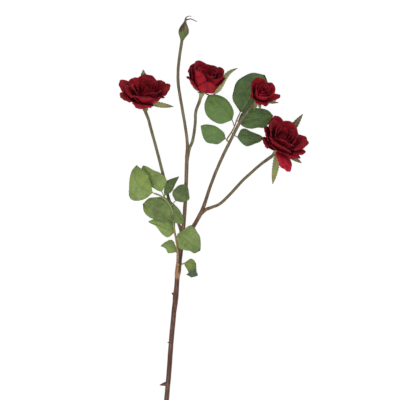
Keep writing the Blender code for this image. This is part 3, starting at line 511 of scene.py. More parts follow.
def petal_point(petal, line, t, a, proud):
    """A point of a petal in its bloom's frame: t from claw to rim, a from edge to edge, proud of its face."""
    radius, height, lean = profile_at(line, t * (1.0 - RIM_ROUND * abs(a) ** 2.4))
    fan = petal["foot"] + (1.0 - petal["foot"]) * sin(pi / 2 * min(1.0, t / WIDEST)) ** 0.9
    half_width = petal["half_width"] * fan * (1.0 - RIM_TAPER * smooth_step(0.74, 1.0, t))
    bend = max(radius * petal["wrap"], LEAST_BEND)
    turn = max(min(a * half_width / bend, MOST_TURN), -MOST_TURN)
    lift = petal["ruffle"] * t ** 3 * sin(petal["waves"] * a + petal["phase"])
    lift += petal["roll"] * t ** 2 * abs(a) ** 3
    slope = radians(lean)
    out = radius - bend * (1.0 - cos(turn)) + lift * cos(slope)
    out += petal["spiral"] * a * min(1.0, 2.0 * t) + proud * cos(slope) * cos(turn)
    side = bend * sin(turn) + proud * cos(slope) * sin(turn)
    return round_axis(out, side, height - (lift + proud) * sin(slope), petal["side"])


def fine_petal_point(petal, line, t, a, proud):
    """A point of a petal with its rolled and wavy rim and its creases."""
    seed = petal["seed"]
    width, most = petal["rim_roll"]
    span = petal["length"] * (1.0 - RIM_ROUND * abs(a) ** 2.4)
    curl = max(most * (1.0 + 0.45 * wobble(1.9 * a, seed, 3.0)), 0.12)
    gap = (1.0 - t) * span
    place = t
    if gap < width:
        turned = curl * (width - gap) / width
        place = 1.0 - (width - width / curl * sin(turned)) / span
        proud += width / curl * (1.0 - cos(turned))
    proud += RIM_WAVE * petal["scale"] * smooth_step(0.55, 1.0, t) * wobble(3.4 * a, seed, 7.0)
    proud += PETAL_CREASE * t * wobble(2.6 * a, 2.2 * t, seed)
    proud += PETAL_CRUMPLE * wobble(8.0 * a, 7.0 * t, seed)
    return petal_point(petal, line, place, a, proud)


def grown_petal(style, size, draw, **own):
    """A petal in a ring's style at its bloom's size, with a seeded ruffle and what is its own."""
    petal = {key: style[key] * size for key in ("spiral", "ruffle", "roll")}
    petal.update(own, claw=[size * value for value in style["claw"]], wrap=style["wrap"], foot=style["foot"])
    petal.update(waves=draw.uniform(*WAVE_DRAW), phase=draw.uniform(*PHASE_DRAW))
    return petal


def bloom_petals(bloom):
    """Every petal of a bloom: its rings with their seeded draws, and its own outermost petals."""
    size = bloom["size"]
    draw = random.Random(bloom["seed"])
    open_side, opening = bloom["open_side"]
    petals = []
    for order, ring_name in enumerate(list(RINGS)[:bloom["rings"]]):
        ring = RINGS[ring_name]
        for index in range(ring["count"]):
            side = bloom["turn"] + 360.0 * index / ring["count"] + RING_TURN * order
            side += draw.uniform(-SIDE_DRAW, SIDE_DRAW)
            extra = opening * cos(radians(side - open_side)) - bloom["closing"]
            extra = extra * order / OUTERMOST + draw.uniform(-LEAN_DRAW, LEAN_DRAW)
            claw, belly, rim = ring["lean"]
            petals.append(grown_petal(
                ring, size, draw, ring=ring_name, side=side, lean=(claw, belly + extra, rim + 1.4 * extra),
                length=ring["length"] * size * bloom["tall"] * draw.uniform(*LENGTH_DRAW),
                half_width=ring["half_width"] * size * draw.uniform(*WIDTH_DRAW),
            ))
    for side, length, half_width, lean in bloom["petals"]:
        petals.append(grown_petal(SKIRT, size, draw, ring="skirt", side=side, lean=lean, length=length,
                                  half_width=half_width))
    for index, petal in enumerate(petals):
        width, curl = RIM_ROLLS[petal["ring"]]
        petal.update(rim_roll=(width * size, curl), scale=size, seed=11.7 * index + bloom["seed"])
        petal["length"] += 0.4 * width * size
    return petals


# The fine middle of a bloom as a share of the plain one. The closed heart's height at full size, and how far
# it is wound either way round the axis, in radians.
HUB_SHARE = 0.97
HEART_HEIGHT = 25.0
HEART_TURN = 1.75 * pi

# The mark of the outermost petals that turn their face up and get painted light, a lit red as though the lamp
# fell full on them, and which ones they are on each bloom.
PAINTED_LIGHT_MARK = -1.0
PAINTED_LIGHT_PETALS = {"left": (3,), "top": (), "small": (), "right": (8,)}


def add_soft(shell, rows, columns, place, shape, floor, thickness, mark):
    """A blade on the points shape(t, a, proud) of a frame, pressed up where the table stops it."""

    def settled(t, a, proud=0.0):
        point = place @ shape(t, a, proud)
        point.z = pressed(point.z, floor)
        return point

    outward = settled(0.5, 0.0, 0.3) - settled(0.5, 0.0)
    add_sheet(shell, rows, columns, settled, thickness, outward, mark)


def build_petals(name, material):
    """A bloom's petals round its solid middle, with the closed heart as one blade wound round the axis."""
    bloom = BLOOMS[name]
    place = standing_frame(bloom["seat"], bloom["facing"])
    size = bloom["size"]
    shell = Shell()
    lifted = place @ Matrix.Translation((0.0, 0.0, GAP))
    profile = [(HUB_SHARE * radius * size, height * size) for radius, height in HUB_PROFILE]
    add_turned(shell, profile, lifted, 0.3, sides=24, samples=3)
    petals = bloom_petals(bloom)
    painted_light = [len(petals) - len(bloom["petals"]) + index for index in PAINTED_LIGHT_PETALS[name]]
    for index, petal in enumerate(petals):
        line = lean_profile(petal["lean"], petal["length"], petal["claw"])

        def shape(t, a, proud):
            return fine_petal_point(petal, line, t, a, proud)

        mark = PAINTED_LIGHT_MARK if index in painted_light else (0.37 * index + 0.1) % 1.0
        add_soft(shell, PETAL_ROWS, PETAL_COLUMNS, place, shape, bloom["pressed"], PETAL_THICK, mark)
    tall = HEART_HEIGHT * size * bloom["tall"]

    def coil(t, a):
        angle = HEART_TURN * a + 0.6
        radius = size * (2.9 + 1.5 * a) * (1.0 + 0.25 * sin(2.6 * t) - 0.35 * t * t)
        height = 0.4 * tall + (0.6 * tall - 1.6 * size * (a + 1.0) + 0.5 * wobble(2.4 * a, 5.0, 1.0)) * t
        return place @ Vector((radius * cos(angle), radius * sin(angle), height))

    add_sheet(shell, 16, 60, coil, PETAL_THICK, place.to_3x3() @ Vector((1.0, 0.3, 0.0)), 0.55)
    return shell.build("bloom_" + name, material, ["petals_" + name])


def sepal_point(sepal, line, t, a, proud):
    """A point of a saw-toothed, folded sepal in its bloom's frame."""
    side, half_width, twist, teeth, seed = sepal
    radius, height, lean = profile_at(line, t)
    shape = min(1.0, 0.45 + 1.6 * t) * (1.0 - t ** SEPAL_POINT) + 0.06
    saw = ((t * teeth + 0.3 * wobble(seed, a, 0.0)) % 1.0 - 0.5) * 2.0
    across = a * half_width * shape * (1.0 + SEPAL_TEETH * saw * smooth_step(0.45, 1.0, abs(a)))
    slope = radians(lean)
    twisted = radians(twist) * min(1.0, t / TWISTED_BY)
    lift = across * sin(twisted) - SEPAL_FOLD * abs(across)
    lift += 0.5 * t * wobble(2.0 * t, a, seed) + proud * cos(twisted)
    across = across * cos(twisted) - proud * sin(twisted)
    return round_axis(radius + lift * cos(slope), across, height - lift * sin(slope), side)


# How dark and brown each sepal is, from 0 to 1.
SEPAL_TONES = {
    "left": (0.3, 0.5, 0.4, 0.6, 0.6), "top": (0.15, 0.3, 0.9, 0.1, 0.0),
    "small": (0.7, 0.1, 0.1, 0.4, 0.4), "right": (1.0, 0.85, 0.05, 0.5, 0.7),
}


def build_calyx(name, material):
    """The swollen cup under a bloom, with its neck and five sepals."""
    bloom = BLOOMS[name]
    place = standing_frame(bloom["seat"], bloom["facing"])
    size, neck = bloom["size"], bloom["neck"]
    shell = Shell()
    cup = [(radius * size, -share * neck) for radius, share in CUP_PROFILE]

    def ribbed(angle, height):
        lumps = CUP_LUMPS * wobble(3.0 * cos(angle), 3.0 * sin(angle), height)
        return 1.0 + CUP_RIB * cos(5.0 * angle) + lumps

    add_turned(shell, cup, place, 0.5, ribbed)
    claw = (SEPAL_CLAW[0] * size, -SEPAL_CLAW[1] * neck)
    for index, (side, foot, middle, tip, length, half_width, twist) in enumerate(bloom["sepals"]):
        line = lean_profile((foot, middle, tip), length, claw)
        teeth = max(4, round(length / SEPAL_TOOTH_PITCH))
        sepal = (side, half_width, twist, teeth, 3.3 * index + bloom["seed"])

        def shape(t, a, proud):
            return sepal_point(sepal, line, t, a, proud)

        add_soft(shell, teeth * 4, 10, place, shape, PRESSED_HEIGHT, SEPAL_THICK, SEPAL_TONES[name][index])
    return shell.build("calyx_" + name + "_fine", material, ["calyx_" + name])


def stalk_end(name):
    """The last two points of the stalk that carries a bloom, in line with the bloom's axis."""
    bloom = BLOOMS[name]
    axis = Vector(bloom["facing"]).normalized()
    end = Vector(bloom["seat"]) - axis * (bloom["neck"] + GAP)
    before = end - axis * STRAIGHT_END
    radius = CUP_PROFILE[-2][0] * bloom["size"] + 0.1
    return ((*before, radius), (*end, radius))


BARK = 0.2  # how far the bark stands out from the stem's own radius, at the outside of its roughness


def build_stem(material):
    shell = Shell()
    stems = (
        (MAIN_STEM, (0.0, 0.05, 0.12, 0.25, 0.4, 0.6, 0.8, 0.85, 0.8)),
        (LEFT_STALK + stalk_end("left"), (0.5, 0.8, 0.95, 0.95)),
        (RIGHT_STEM + stalk_end("small"), (0.35, 0.5, 0.75, 0.85)),
        (RIGHT_STALK + stalk_end("right"), (0.5, 0.8, 0.9)),
        (TOP_STALK + stalk_end("top"), (0.8, 0.95, 1.0)),
    )
    for index, (route, tones) in enumerate(stems):
        route = [(*point[:3], point[3] + BARK) for point in route]
        add_tube(shell, route, tones, seed=1.0 + index)
    for index, (foot, tip, radius) in enumerate(THORNS):
        middle = [0.5 * (low + high) for low, high in zip(foot, tip)]
        route = ((*foot, 1.15 * radius), (*middle, 0.8 * radius), (*tip, 0.16 * radius))
        add_tube(shell, route, (0.1, 0.0), sides=12, seed=7.0 + index)
    return shell.build("cane_and_stalks", material, ["stem"])


def width_at(widths, t):
    """The half width of a leaflet's side at t, on a smooth line through its known half widths."""
    places = (0.0, *WIDTH_PLACES, 1.0)
    known = (0.6, *widths, 0.35)
    index = min(sum(t >= place for place in places[1:-1]), len(places) - 2)
    slopes = []
    for at in (index, index + 1):
        low, high = max(at - 1, 0), min(at + 1, len(places) - 1)
        slopes.append((known[high] - known[low]) / (places[high] - places[low]))
    step = places[index + 1] - places[index]
    share = (t - places[index]) / step
    return max(0.35, (
        (2 * share ** 3 - 3 * share ** 2 + 1) * known[index]
        + (3 * share ** 2 - 2 * share ** 3) * known[index + 1]
        + (share ** 3 - 2 * share ** 2 + share) * step * slopes[0]
        + (share ** 3 - share ** 2) * step * slopes[1]
    ))


def leaflet_point(leaflet, t, a, proud=0.0):
    """A point of a saw-toothed leaflet: a blade folded along its bowed rib and raised between its veins."""
    half = width_at(leaflet["sides"][a > 0], t)
    saw = (t * leaflet["teeth"]) % 1.0
    edge = smooth_step(0.78, 1.0, abs(a))
    tooth = TOOTH_DEPTH * (saw - 0.5) * edge * smooth_step(0.02, 0.16, t) * min(1.0, 0.12 * half)
    reach = a * half + copysign(tooth, a)
    lift = tan(radians(leaflet["fold"])) * abs(reach) + leaflet["arch"] * sin(pi * t)
    vein = t * VEINS - VEIN_SWEEP * abs(a) ** VEIN_BEND
    quilt = abs(sin(pi * vein)) ** 0.7 * smooth_step(0.0, 0.14, abs(a)) * (1.0 - abs(a) ** 3)
    broad = min(1.0, leaflet["width"] / BROAD_LEAFLET)
    lift += VEIN_RELIEF * broad * quilt
    lift += EDGE_WAVE * broad * a * a * wobble(4.2 * t, copysign(3.0, a), leaflet["seed"])
    lift += LEAF_BUCKLE * broad * wobble(1.9 * t, 1.5 * a, leaflet["seed"] + 5.0)
    lift += LEAF_CRINKLE * broad * wobble(4.6 * t, 3.6 * a, leaflet["seed"] + 9.0) + proud
    along = leaflet["tip"] - leaflet["foot"]
    bow = leaflet["across"] * 4.0 * leaflet["bow"]
    sideways = (along - bow * (1.0 - 2.0 * t)).cross(leaflet["upward"]).normalized()
    forward = 0.10 * abs(reach) * (1.0 - t)
    return (leaflet["foot"] + along * t - bow * t * (1.0 - t) + along.normalized() * forward
            + sideways * reach + leaflet["upward"] * lift)


# How fresh each leaflet's green is, from 0 to 1; the rachis and the leaflets' stalks are marked apart. The
# dark 0.04 of the lower leaf's eighth leaflet, seen from beneath, is painted shade.
LEAF_TONES_AND_SHADE = {
    "leaf_upper": (0.95, 0.75, 0.3, 0.25, 0.32),
    "leaf_lower": (0.8, 0.85, 0.42, 0.9, 0.8, 0.5, 0.06, 0.04, 0.4),
    "leaf_side": (0.34,),
}
STALK_TONE = -1.0
STALK_TONES = (STALK_TONE, STALK_TONE)
RACHIS_TONES = {
    "leaf_upper": STALK_TONES, "leaf_lower": (*STALK_TONES, STALK_TONE, -0.55, 0.5, 0.5, 0.5, 0.5),
    "leaf_side": STALK_TONES,
}
# How much thicker the fine rachis is than the plain one.
RACHIS_FULLNESS = {"leaf_upper": 1.0, "leaf_lower": 1.35, "leaf_side": 1.1}


def build_leaf(name, piece_name, rachis, leaflets, material):
    """A compound leaf: the rachis, and the leaflets on it with their short stalks and raised ribs."""
    shell = Shell()
    fuller = [(*point[:3], point[3] * RACHIS_FULLNESS[name]) for point in rachis]
    add_tube(shell, fuller, RACHIS_TONES[name], sides=12, seed=9.0)
    for index, (joint, foot, tip, bow, left, right, fold, arch, roll) in enumerate(leaflets):
        along = Vector(tip) - Vector(foot)
        across = along.cross(Vector((0.0, 0.0, 1.0))).normalized()
        across = Matrix.Rotation(radians(roll), 3, along.normalized()) @ across
        leaflet = dict(
            foot=Vector(foot), tip=Vector(tip), across=across, upward=across.cross(along).normalized(),
            bow=bow, sides=(left, right), width=max(left) + max(right), fold=fold, arch=arch,
            teeth=max(6, round(along.length / TOOTH_PITCH)), seed=4.7 * index + len(leaflets),
        )

        def fine(t, a):
            return leaflet_point(leaflet, t, a)

        mark = LEAF_TONES_AND_SHADE[name][index]
        add_sheet(shell, leaflet["teeth"] * 4, 20, fine, LEAF_THICK, leaflet["upward"], mark, 0.08)
        route = [(*rachis[joint][:3], 0.75), (*leaflet["foot"], 0.7)]
        for t in (0.12, 0.3, 0.5, 0.7, 0.92):
            route.append((*leaflet_point(leaflet, t, 0.0, -0.3), 0.6 - 0.42 * t))
        add_tube(shell, route, (STALK_TONE, mark, mark, mark, mark), samples=4, sides=8, rough=0.0)
    return shell.build(piece_name, material, [name])


# How much thicker the bud's fine tips are than the plain ones, and the depth of the seams between its sepals.
BUD_TAIL_FULLNESS = 1.15
BUD_SEAM = 0.09
BUD_LUMPS = 0.02


def build_bud(material):
    """The closed bud: a pointed body of five folded sepals, and its long thin sepal tips."""
    foot = Vector(BUD_FOOT) + Vector(BUD_FACING).normalized() * GAP
    place = standing_frame(foot, BUD_FACING)
    shell = Shell()

    def ribbed(angle, height):
        rise = smooth_step(6.0, 11.0, height)
        seam = exp(-((degrees(angle) + 36.0 + 1.2 * height) % 72.0 - 36.0) ** 2 / 40.0)
        lumps = BUD_LUMPS * wobble(4.0 * cos(angle), 4.0 * sin(angle), 0.5 * height)
        return 1.0 + BUD_RIB * cos(5.0 * angle) * rise - BUD_SEAM * seam * rise + lumps

    add_turned(shell, BUD_PROFILE, place, 0.5, ribbed, sides=60)
    for index, tip in enumerate(BUD_TIPS):
        route = [(*(place @ Vector(point[:3])), point[3] * BUD_TAIL_FULLNESS) for point in tip]
        add_tube(shell, route, (0.9, 1.0), sides=8, seed=3.0 + index)
    return shell.build("closed_bud", material, ["bud"])


# The floor: how light its paint is, its own glow, its height in millimetres and half its width in metres.
FLOOR_PAINT = 0.08
FLOOR_GLOW = 0.93
FLOOR_HEIGHT = -0.2
FLOOR_REACH = 4.0
SKY_STRENGTH = 0.9
SENSOR_WIDTH = 36.0

# Painted light: the lit red that the chosen outermost petals turn to along their middle.
PAINTED_LIGHT_RED = (0.47, 0.016, 0.04)
STALK_TAN = (0.3, 0.2, 0.085)
STALK_BROWN = (0.13, 0.085, 0.042)
LEAF_YELLOW = (1.0, 1.0, 0.45)
LEAF_BLUE = (0.55, 0.78, 0.85)

# Brown bruises on the lower leaf: middle and reach, in metres.
BRUISES = (((-0.0827, 0.0045, 0.017), 0.0085), ((-0.047, -0.035, 0.015), 0.008))
BRUISE = (0.07, 0.058, 0.018)

# The bud turns from green to brown between these heights up the page, and from dark to tan across, in metres.
BUD_TURNS = (0.264, 0.2685)
BUD_SHADE = (-0.0905, -0.0845)
BUD_LEAF = (0.068, 0.102, 0.026)
BUD_FRESH = (0.092, 0.122, 0.032)
BUD_DARK = (0.044, 0.032, 0.015)
BUD_TAN = (0.15, 0.122, 0.056)
BUD_TAIL = (0.06, 0.04, 0.036)

# Round the lowest joint the bark is tan, with a pale ring above and below, as (from, to, colour, share), and
# nearly black on the right. Places are in metres.
NODE_BANDS = (
    (-0.114, -0.09, (0.25, 0.118, 0.05), 0.6),
    (-0.112, -0.105, (0.22, 0.16, 0.1), 0.3),
    (-0.0935, -0.089, (0.3, 0.235, 0.1), 0.6),
)
BAND_EDGE = 0.002
NEAR_BLACK_EDGE = (-0.0405, -0.0385)
NEAR_BLACK = (0.02, 0.011, 0.004)


class Graph:
    """The nodes of one material."""

    def __init__(self, name, roughness, specular, sheen=0.0, sheen_tint=(1.0, 1.0, 1.0)):
        self.material = bpy.data.materials.new(name)
        self.material.use_nodes = True
        self.tree = self.material.node_tree
        self.shader = self.tree.nodes["Principled BSDF"]
        self.fill(self.shader, (
            ("Roughness", roughness), ("Specular IOR Level", specular), ("Sheen Weight", sheen),
            ("Sheen Roughness", 0.45), ("Sheen Tint", sheen_tint)))

    def fill(self, node, inputs):
        """Gives a node's inputs their sockets or values."""
        for key, value in inputs:
            socket = node.inputs[key]
            if isinstance(value, bpy.types.NodeSocket):
                self.tree.links.new(value, socket)
            else:
                socket.default_value = (*value, 1.0) if socket.type == "RGBA" else value

    def add(self, kind, inputs=(), out=0, **settings):
        node = self.tree.nodes.new("ShaderNode" + kind)
        for key, value in settings.items():
            setattr(node, key, value)
        self.fill(node, inputs)
        return node.outputs[out]

    def math(self, operation, first, second=0.0, third=0.0, clamp=False):
        return self.add("Math", enumerate((first, second, third)), operation=operation, use_clamp=clamp)

    def times(self, first, second, plus=None):
        if plus is None:
            return self.math("MULTIPLY", first, second)
        return self.math("MULTIPLY_ADD", first, second, plus)

    def vary(self, value, cloud, most):
        """The value, moved up and down by a cloud that is 0.5 in the middle."""
        return self.times(self.math("SUBTRACT", cloud, 0.5), most, value)

    def fade(self, value, low, high, bottom=0.0, top=1.0):
        limits = enumerate((value, low, high, bottom, top))
        return self.add("MapRange", limits, interpolation_type="SMOOTHSTEP")

    def mix(self, share, first, second, mode="MIX"):
        # For colours, the mix node's inputs are 0, 6 and 7 and its output is 2.
        inputs = ((0, share), (6, first), (7, second))
        return self.add("Mix", inputs, 2, data_type="RGBA", blend_type=mode)

    def shade(self, colour, value, low, high, most, tint):
        """The colour, darkened by a tint where the value rises from low to high."""
        return self.mix(self.fade(value, low, high, 0.0, most), colour, tint, "MULTIPLY")

    def ramp(self, value, stops):
        colour = self.add("ValToRGB", ((0, value),))
        elements = colour.node.color_ramp.elements
        while len(elements) < len(stops):
            elements.new(1.0)
        for element, (position, shade) in zip(elements, stops):
            element.position = position
            element.color = (*shade, 1.0)
        return colour

    def noise(self, vector, scale, detail=3.0, rough=0.55):
        inputs = (("Vector", vector), ("Scale", scale), ("Detail", detail), ("Roughness", rough))
        return self.add("TexNoise", inputs)

    def stretch(self, vector, x, y, z=1.0):
        return self.add("Mapping", (("Vector", vector), ("Scale", (x, y, z))))

    def streaks(self, across, along, detail, rough=0.55):
        """A cloud drawn out up the page."""
        return self.noise(self.stretch(self.spot(), across, along, across), 1.0, detail, rough)

    def layer(self, name):
        return self.add("UVMap", uv_map=name)

    def spot(self):
        """The place on the object, in metres."""
        return self.add("TexCoord", out="Object")

    def split(self, vector):
        return self.add("SeparateXYZ", ((0, vector),), slice(3))

    def blade(self):
        """A blade's point: how far from its middle line, how far along, its mark, its side and its place."""
        across, along, _ = self.split(self.layer("Blade"))
        mark, side, _ = self.split(self.layer("Marks"))
        return self.math("ABSOLUTE", self.times(across, 2.0, -1.0)), along, mark, side, self.spot()

    def finished(self, colour, rough, bumps):
        """The material, with bumps on top of each other, each as (height, strength, depth in millimetres)."""
        below = ()
        for height, strength, depth in bumps:
            inputs = (("Height", height), ("Strength", strength), ("Distance", depth * MM), *below)
            below = (("Normal", self.add("Bump", inputs)),)
        self.fill(self.shader, (("Base Color", colour), ("Roughness", rough), *below))
        return self.material


def petal_material():
    """Crimson velvet with painted shade dark in the throat and a painted lit red on chosen petals; deep purple
    at the rim, with faint veins and a fine nap.
    """
    g = Graph("crimson_velvet", 0.85, 0.1, 0.1, (1.0, 0.16, 0.22))
    sides, along, mark, outside, spot = g.blade()
    fine_cloud = g.noise(spot, 420.0, 4.0, 0.6)
    # Painted shade: towards the claw the inner face darkens far more than the outer one, as the shade in the
    # bloom's throat.
    inner = g.ramp(along, ((0.0, (0.04, 0.001, 0.002)), (0.3, (0.09, 0.0015, 0.004)),
                           (0.62, (0.2, 0.003, 0.008)), (1.0, (0.29, 0.006, 0.015))))
    outer = g.ramp(along, ((0.0, (0.17, 0.012, 0.014)), (0.3, (0.25, 0.007, 0.015)),
                           (0.75, (0.32, 0.01, 0.022)), (1.0, (0.28, 0.006, 0.015))))
    # Painted light: the chosen petals take the outer colours on both faces and a lit red along their middle,
    # as though the lamp fell full on them.
    painted_light = g.fade(mark, -0.8, -0.2, 1.0, 0.0)
    colour = g.mix(g.math("MAXIMUM", outside, painted_light), inner, outer)
    colour = g.mix(g.times(painted_light, g.fade(along, 0.25, 0.65)), colour, PAINTED_LIGHT_RED)
    veins = g.noise(g.stretch(g.layer("Blade"), 46.0, 2.4), 1.0, 2.0)
    colour = g.shade(colour, veins, 0.52, 0.72, 0.35, (0.45, 0.3, 0.3))
    colour = g.shade(colour, g.noise(spot, 110.0, 4.0), 0.4, 0.66, 0.8, (0.5, 0.36, 0.42))
    colour = g.shade(colour, mark, 0.0, 1.0, 0.4, (0.7, 0.6, 0.65))
    ragged = g.times(fine_cloud, 0.1, g.math("MAXIMUM", sides, along))
    patches = g.fade(g.noise(spot, 130.0, 2.0), 0.4, 0.62)
    rim = g.times(g.fade(ragged, 0.955, 1.045), g.times(patches, 0.65, 0.35))
    colour = g.mix(g.times(rim, 0.85), colour, (0.03, 0.003, 0.012))
    nap = g.noise(spot, 1900.0, 2.0, 0.7)
    return g.finished(colour, g.fade(fine_cloud, 0.3, 0.7, 0.68, 0.88), (
        (g.noise(spot, 160.0), 0.6, 2.2), (fine_cloud, 0.4, 0.5), (veins, 0.3, 0.3), (nap, 0.35, 0.08)))


def leaf_material(name, deep, fresh, rib, under, edge, gloss, fall=0.0):
    """A leaf blade: mottled green, a pale net of veins, a darker edge, a matt underside and a tan stalk."""
    g = Graph(name, gloss, 0.24, 0.03, (0.85, 1.0, 0.8))
    sides, along, mark, upper, spot = g.blade()
    cloud = g.noise(spot, 55.0)
    grain = g.noise(spot, 600.0, 4.0, 0.6)
    # The mark gives each leaflet's tone; the darkest, on the lower leaf's eighth leaflet, is painted shade.
    tone = g.vary(g.vary(mark, cloud, 1.5), g.noise(spot, 190.0), 0.9)
    tone = g.math("MULTIPLY_ADD", g.math("SUBTRACT", along, 0.4), -fall, tone, clamp=True)
    colour = g.mix(tone, deep, fresh)
    colour = g.shade(colour, g.noise(spot, 75.0, 2.0), 0.5, 0.7, 0.6, LEAF_YELLOW)
    colour = g.shade(colour, g.noise(spot, 110.0, 2.0), 0.54, 0.72, 0.7, LEAF_BLUE)
    for middle, reach in BRUISES:
        away = g.add("VectorMath", ((0, spot), (1, middle)), "Value", operation="DISTANCE")
        colour = g.mix(g.fade(g.vary(away, cloud, 0.012), 0.002, reach, 0.55, 0.0), colour, BRUISE)
    sweep = g.times(g.math("POWER", sides, VEIN_BEND), -VEIN_SWEEP)
    vein = g.math("ABSOLUTE", g.math("SINE", g.times(g.times(along, VEINS, sweep), pi)))
    vein_line = g.fade(g.times(sides, 0.06, vein), 0.05, 0.24, 1.0, 0.0)
    middle_line = g.fade(g.times(along, 0.02, sides), 0.03, 0.09, 1.0, 0.0)
    cells = g.add("TexVoronoi", (("Vector", spot), ("Scale", 420.0)), feature="DISTANCE_TO_EDGE")
    net = g.fade(cells, 0.0, 0.16, 1.0, 0.0)
    lines = g.math("MAXIMUM", middle_line, g.times(net, 0.22))
    lines = g.math("MAXIMUM", g.times(vein_line, 0.55), lines)
    colour = g.shade(colour, grain, 0.35, 0.75, 0.35, (0.7, 0.78, 0.65))
    colour = g.mix(g.times(lines, 0.6), colour, rib)
    margin = g.times(g.noise(spot, 160.0, 2.0), 0.16, g.math("MAXIMUM", sides, along))
    colour = g.mix(g.fade(margin, 1.0, 1.12, 0.0, 0.75), colour, edge)
    colour = g.mix(upper, g.mix(g.times(lines, 0.5), under, rib), colour)
    stalk = g.mix(g.fade(grain, 0.35, 0.65), STALK_TAN, STALK_BROWN)
    colour = g.mix(g.fade(mark, -0.8, -0.2, 1.0, 0.0), colour, stalk)
    rough = g.fade(grain, 0.3, 0.7, gloss - 0.06, gloss + 0.1)
    rough = g.math("ADD", g.fade(upper, 0.0, 1.0, 0.25, 0.0), rough)
    return g.finished(colour, rough, (
        (g.times(lines, -1.0), 0.6, 0.4), (g.noise(spot, 130.0), 0.5, 1.6), (grain, 0.25, 0.12)))


def cane_material():
    """Bark that runs from red brown at the cut end to olive on the stalks, streaked and dotted."""
    g = Graph("cane_bark", 0.6, 0.22)
    tone, cut, _ = g.split(g.layer("Marks"))
    spot = g.spot()
    x, y, _ = g.split(spot)
    streaks = g.streaks(620.0, 60.0, 4.0, 0.6)
    colour = g.ramp(g.vary(tone, g.streaks(160.0, 40.0, 2.0), 0.5), (
        (0.0, (0.078, 0.031, 0.021)), (0.25, (0.09, 0.038, 0.023)), (0.6, (0.13, 0.09, 0.046)),
        (1.0, (0.13, 0.122, 0.064))))
    colour = g.shade(colour, streaks, 0.4, 0.66, 0.75, (0.42, 0.36, 0.34))
    colour = g.mix(g.fade(streaks, 0.3, 0.45, 0.3, 0.0), colour, (0.3, 0.2, 0.15))
    ragged = g.fade(g.streaks(300.0, 90.0, 3.0), 0.35, 0.6)
    level = g.times(g.noise(spot, 260.0, 2.0), 0.006, g.times(x, 0.35, y))
    for low, high, shade, share in NODE_BANDS:
        ring = g.times(g.fade(level, low, low + BAND_EDGE), g.fade(level, high - BAND_EDGE, high, 1.0, 0.0))
        colour = g.mix(g.times(ring, g.times(ragged, 0.4, share)), colour, shade)
    # Between these heights the cane turns nearly black along its right side.
    slant = g.times(g.streaks(300.0, 60.0, 2.0), 0.003, g.times(y, -0.125, x))
    near_black = g.times(g.fade(y, -0.09, -0.087), g.fade(y, -0.052, -0.044, 1.0, 0.0))
    near_black = g.times(near_black, g.fade(slant, *NEAR_BLACK_EDGE))
    colour = g.mix(g.times(near_black, g.times(ragged, 0.25, 0.65)), colour, NEAR_BLACK)
    dots = g.add("TexVoronoi", (("Vector", g.stretch(spot, 300.0, 150.0, 300.0)), ("Scale", 1.0)))
    colour = g.mix(g.fade(dots, 0.1, 0.2, 0.45, 0.0), colour, (0.26, 0.19, 0.14))
    colour = g.mix(cut, colour, (0.42, 0.38, 0.24))
    return g.finished(colour, g.fade(streaks, 0.3, 0.7, 0.46, 0.66), (
        (streaks, 0.5, 0.3), (g.fade(dots, 0.08, 0.22, 1.0, 0.0), 0.4, 0.25)))


def calyx_material():
    """The green of cups and sepals: pale and speckled at the foot, olive to brown at the saw-toothed tips."""
    g = Graph("calyx_green", 0.62, 0.28, 0.08, (0.9, 1.0, 0.85))
    sides, along, mark, _, spot = g.blade()
    cloud = g.noise(spot, 120.0)
    grain = g.noise(spot, 900.0, 3.0, 0.6)
    colour = g.ramp(g.vary(along, cloud, 0.5), (
        (0.0, (0.4, 0.43, 0.22)), (0.35, (0.32, 0.36, 0.14)), (0.7, (0.22, 0.24, 0.08)),
        (1.0, (0.13, 0.11, 0.05))))
    brown = g.times(g.fade(mark, 0.0, 1.0, 0.0, 0.85), g.fade(along, 0.0, 0.4))
    colour = g.mix(brown, colour, (0.085, 0.058, 0.026))
    colour = g.mix(g.fade(g.times(cloud, 0.3, sides), 0.98, 1.2, 0.0, 0.6), colour, (0.1, 0.06, 0.04))
    colour = g.mix(g.fade(sides, 0.02, 0.12, 0.5, 0.0), colour, (0.36, 0.38, 0.18))
    colour = g.mix(g.fade(grain, 0.55, 0.72, 0.0, 0.45), colour, (0.14, 0.13, 0.06))
    return g.finished(colour, g.fade(grain, 0.3, 0.7, 0.52, 0.75), (
        (cloud, 0.3, 0.5), (grain, 0.4, 0.12), (g.fade(sides, 0.0, 0.15, 1.0, 0.0), 0.3, 0.3)))


def bud_material():
    """The bud's folded sepals: green below, then streaked from tan to dark brown, downy, with dark tails."""
    g = Graph("bud_green", 0.66, 0.25, 0.12, (0.9, 1.0, 0.85))
    tone, _, _ = g.split(g.layer("Marks"))
    spot = g.spot()
    x, y, _ = g.split(spot)
    cloud = g.noise(spot, 160.0)
    grain = g.streaks(1500.0, 300.0, 3.0, 0.6)
    streaks = g.streaks(260.0, 45.0, 3.0)
    brown = g.mix(g.fade(g.times(y, -0.16, x), *BUD_SHADE), BUD_DARK, BUD_TAN)
    brown = g.mix(g.fade(streaks, 0.46, 0.6), brown, BUD_DARK)
    fresh = g.mix(g.fade(streaks, 0.4, 0.6), BUD_LEAF, BUD_FRESH)
    colour = g.mix(g.fade(g.times(cloud, 0.01, y), *BUD_TURNS), fresh, brown)
    colour = g.mix(g.fade(tone, 0.6, 0.8), colour, BUD_TAIL)
    colour = g.shade(colour, grain, 0.45, 0.7, 0.45, (0.5, 0.46, 0.4))
    return g.finished(colour, g.fade(grain, 0.3, 0.7, 0.56, 0.8), ((grain, 0.45, 0.2), (cloud, 0.3, 0.5)))


def add_item(name, data, place):
    item = bpy.data.objects.new(name, data)
    item.location = place
    bpy.context.scene.collection.objects.link(item)
    return item


